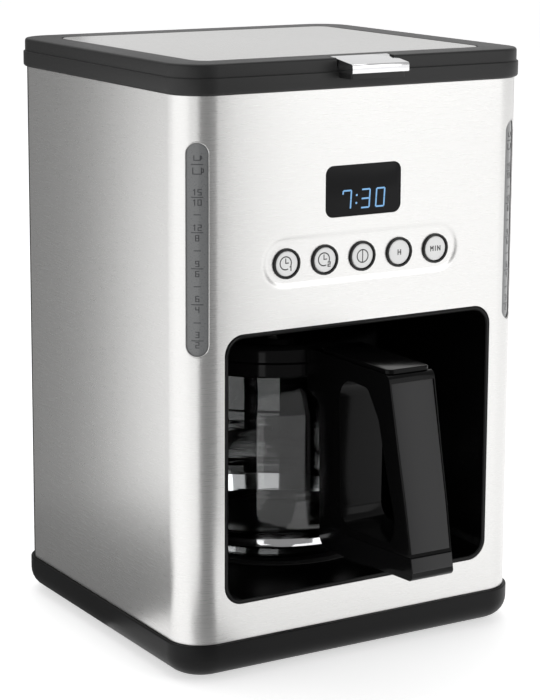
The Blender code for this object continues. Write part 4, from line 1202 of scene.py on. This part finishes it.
def makeHandle():
    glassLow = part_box("carafe_glass")[0]
    clear = handleShape["clear"]
    half = carafeShape["halfHandle"]
    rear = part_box("carafe_band")[0].y - clear - glassLow.y
    body = handleShape["strut"] + [(rear, handleShape["strutTop"], 0), (rear, handleShape["top"], 0.002)]
    bm = gripShape(body + handleShape["outside"], half, carafeShape["edge"], [handleShape["opening"]], 4)
    thick = carafeShape["panelThick"]
    pocketFront = [(y - 0.004, z, 0) for y, z in handleLine]
    pocketBack = [(y + thick + clear, z, 0) for y, z in reversed(handleLine)]
    pocket = gripShape(pocketFront + pocketBack, carafeShape["panelHalf"] + clear)
    pinY, pinZ = middleOf("carafe_lid_pin")[1:]
    reach = handleShape["notchReach"]
    wide = handleShape["notchHalf"]
    notch = roundedBlock((-wide, pinY - reach, pinZ - reach), (wide, pinY + 0.05, pinZ + 0.02))
    mesh = carve(meshFrom(bm, "handle"), [pocket, notch])
    newPiece("handleBody", mesh, "handleBlack", "carafe", "black_gloss", "handle_body")
    front = [(y, z, 0) for y, z in handleLine]
    back = [(y + thick, z, 0) for y, z in reversed(handleLine)]
    panel = meshFrom(gripShape(front + back, carafeShape["panelHalf"], 0.0005), "handlePanel")
    newPiece("handlePanel", panel, "gripBlack", "carafe", "black_matte", "handle_front_panel")
    endCap = gripShape(handleShape["endCap"], half)
    seam = glassLow.z + handleShape["seam"]
    under = [e for e in endCap.edges if all(v.co.z < seam for v in e.verts) and e.calc_face_angle(0) > 1.0]
    bmesh.ops.bevel(endCap, geom=under, offset=carafeShape["capRound"], segments=6, profile=0.5,
                    affect="EDGES",
                    clamp_overlap=True)
    newPiece("handleEndCap", meshFrom(endCap, "handleEndCap"), "glossBlack", "carafe", "black_matte",
             "handle_end_cap")
    face = gripShape(handleShape["capFace"], half - handleShape["faceInset"], 0.0002)
    newPiece("handleCapFace", meshFrom(face, "handleCapFace"), "gripBlack", "carafe", "black_matte")
    low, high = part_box("handle_top_cap")
    topCap = meshFrom(roundedBlock(low, high, 0.004, 2, 8, over=0.0009), "handleTopCap")
    newPiece("handleTopCap", topCap, "handleBlack", "carafe", "black_gloss", "handle_top_cap")


lidShape = {
    "hole": 0.007,
    "plugInset": 0.0093,
    "round": 0.004,
    "plugDepth": 0.0075,
    "plugWall": 0.002,
    "ceiling": 0.003,
    "tongueHalf": 0.0085,
    "tongueReach": 0.0032,
}


def makeCarafeLid():
    centre, edge = roundOf("carafe_band")
    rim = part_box("carafe_band")[1].z + 0.0003
    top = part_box("carafe_lid")[1].z
    hole = lidShape["hole"]
    curve = lidShape["round"]
    plug = edge - lidShape["plugInset"]
    foot = rim - lidShape["plugDepth"]
    inner = plug - lidShape["plugWall"]
    ceiling = rim + lidShape["ceiling"]
    profile = [(hole, top - 0.0006), (hole + 0.0006, top), (edge - curve - 0.0006, top)]
    for step in range(1, 7):
        angle = math.pi / 2 * step / 6
        profile.append((edge - curve + curve * math.sin(angle), top - curve + curve * math.cos(angle)))
    profile += [(edge, rim), (plug, rim), (plug, foot), (inner, foot), (inner, ceiling), (hole, ceiling)]
    lid = lathed(profile, centre, carafeShape["steps"], "Z", True)
    pinY, pinZ = middleOf("carafe_lid_pin")[1:]
    half = lidShape["tongueHalf"]
    reach = lidShape["tongueReach"]
    tongue = roundedBlock((-half, pinY - reach, pinZ - reach),
                          (half, centre[1] - edge + 0.006, pinZ + reach), 0.0025, 0, 6)
    mesh = carve(meshFrom(lid, "carafeLid"), [tongue], "UNION")
    newPiece("carafeLid", mesh, "glossBlack", "carafe_cover", "black_gloss", "carafe_lid")


makeGlass()
makeHighlightRing()
makeBand()
makeHandle()
makeCarafeLid()
print("stage: carafe and handle")


cadFinishes = {
    "satinBlack": ("button_frame",),
    "nicheBlack": ("niche_liner", "rear_cover"),
    "innerBlack": ("bottom_cover", "filter_deck", "filter_holder", "lid_inner_cover", "shower_head",
                   "filter_basket"),
    "chrome": ("base_screw_front_left", "base_screw_front_right", "base_screw_rear_left",
               "base_screw_rear_right", "hinge_pin_left", "hinge_pin_right", "drip_valve_spring",
               "handle_screw",
               "carafe_lid_pin"),
    "button": ("display_module",),
    "tank": ("water_tank",),
    "rubber": ("rubber_foot_front_left", "rubber_foot_front_right", "rubber_foot_rear_left",
               "rubber_foot_rear_right",
               "cord_gland", "plate_gasket"),
    "silicone": ("inlet_hose", "riser_tube", "button_pad", "drip_valve"),
    "aluminium": ("heater_tube", "thermostat", "thermal_fuse", "check_valve"),
    "board": ("control_board", "power_board"),
    "plate": ("warming_plate",),
}


def finishCad():
    for finish, names in cadFinishes.items():
        for name in names:
            for slot in nodes[name].material_slots:
                slot.material = finishes[finish]


finishCad()
print("stage: other parts")
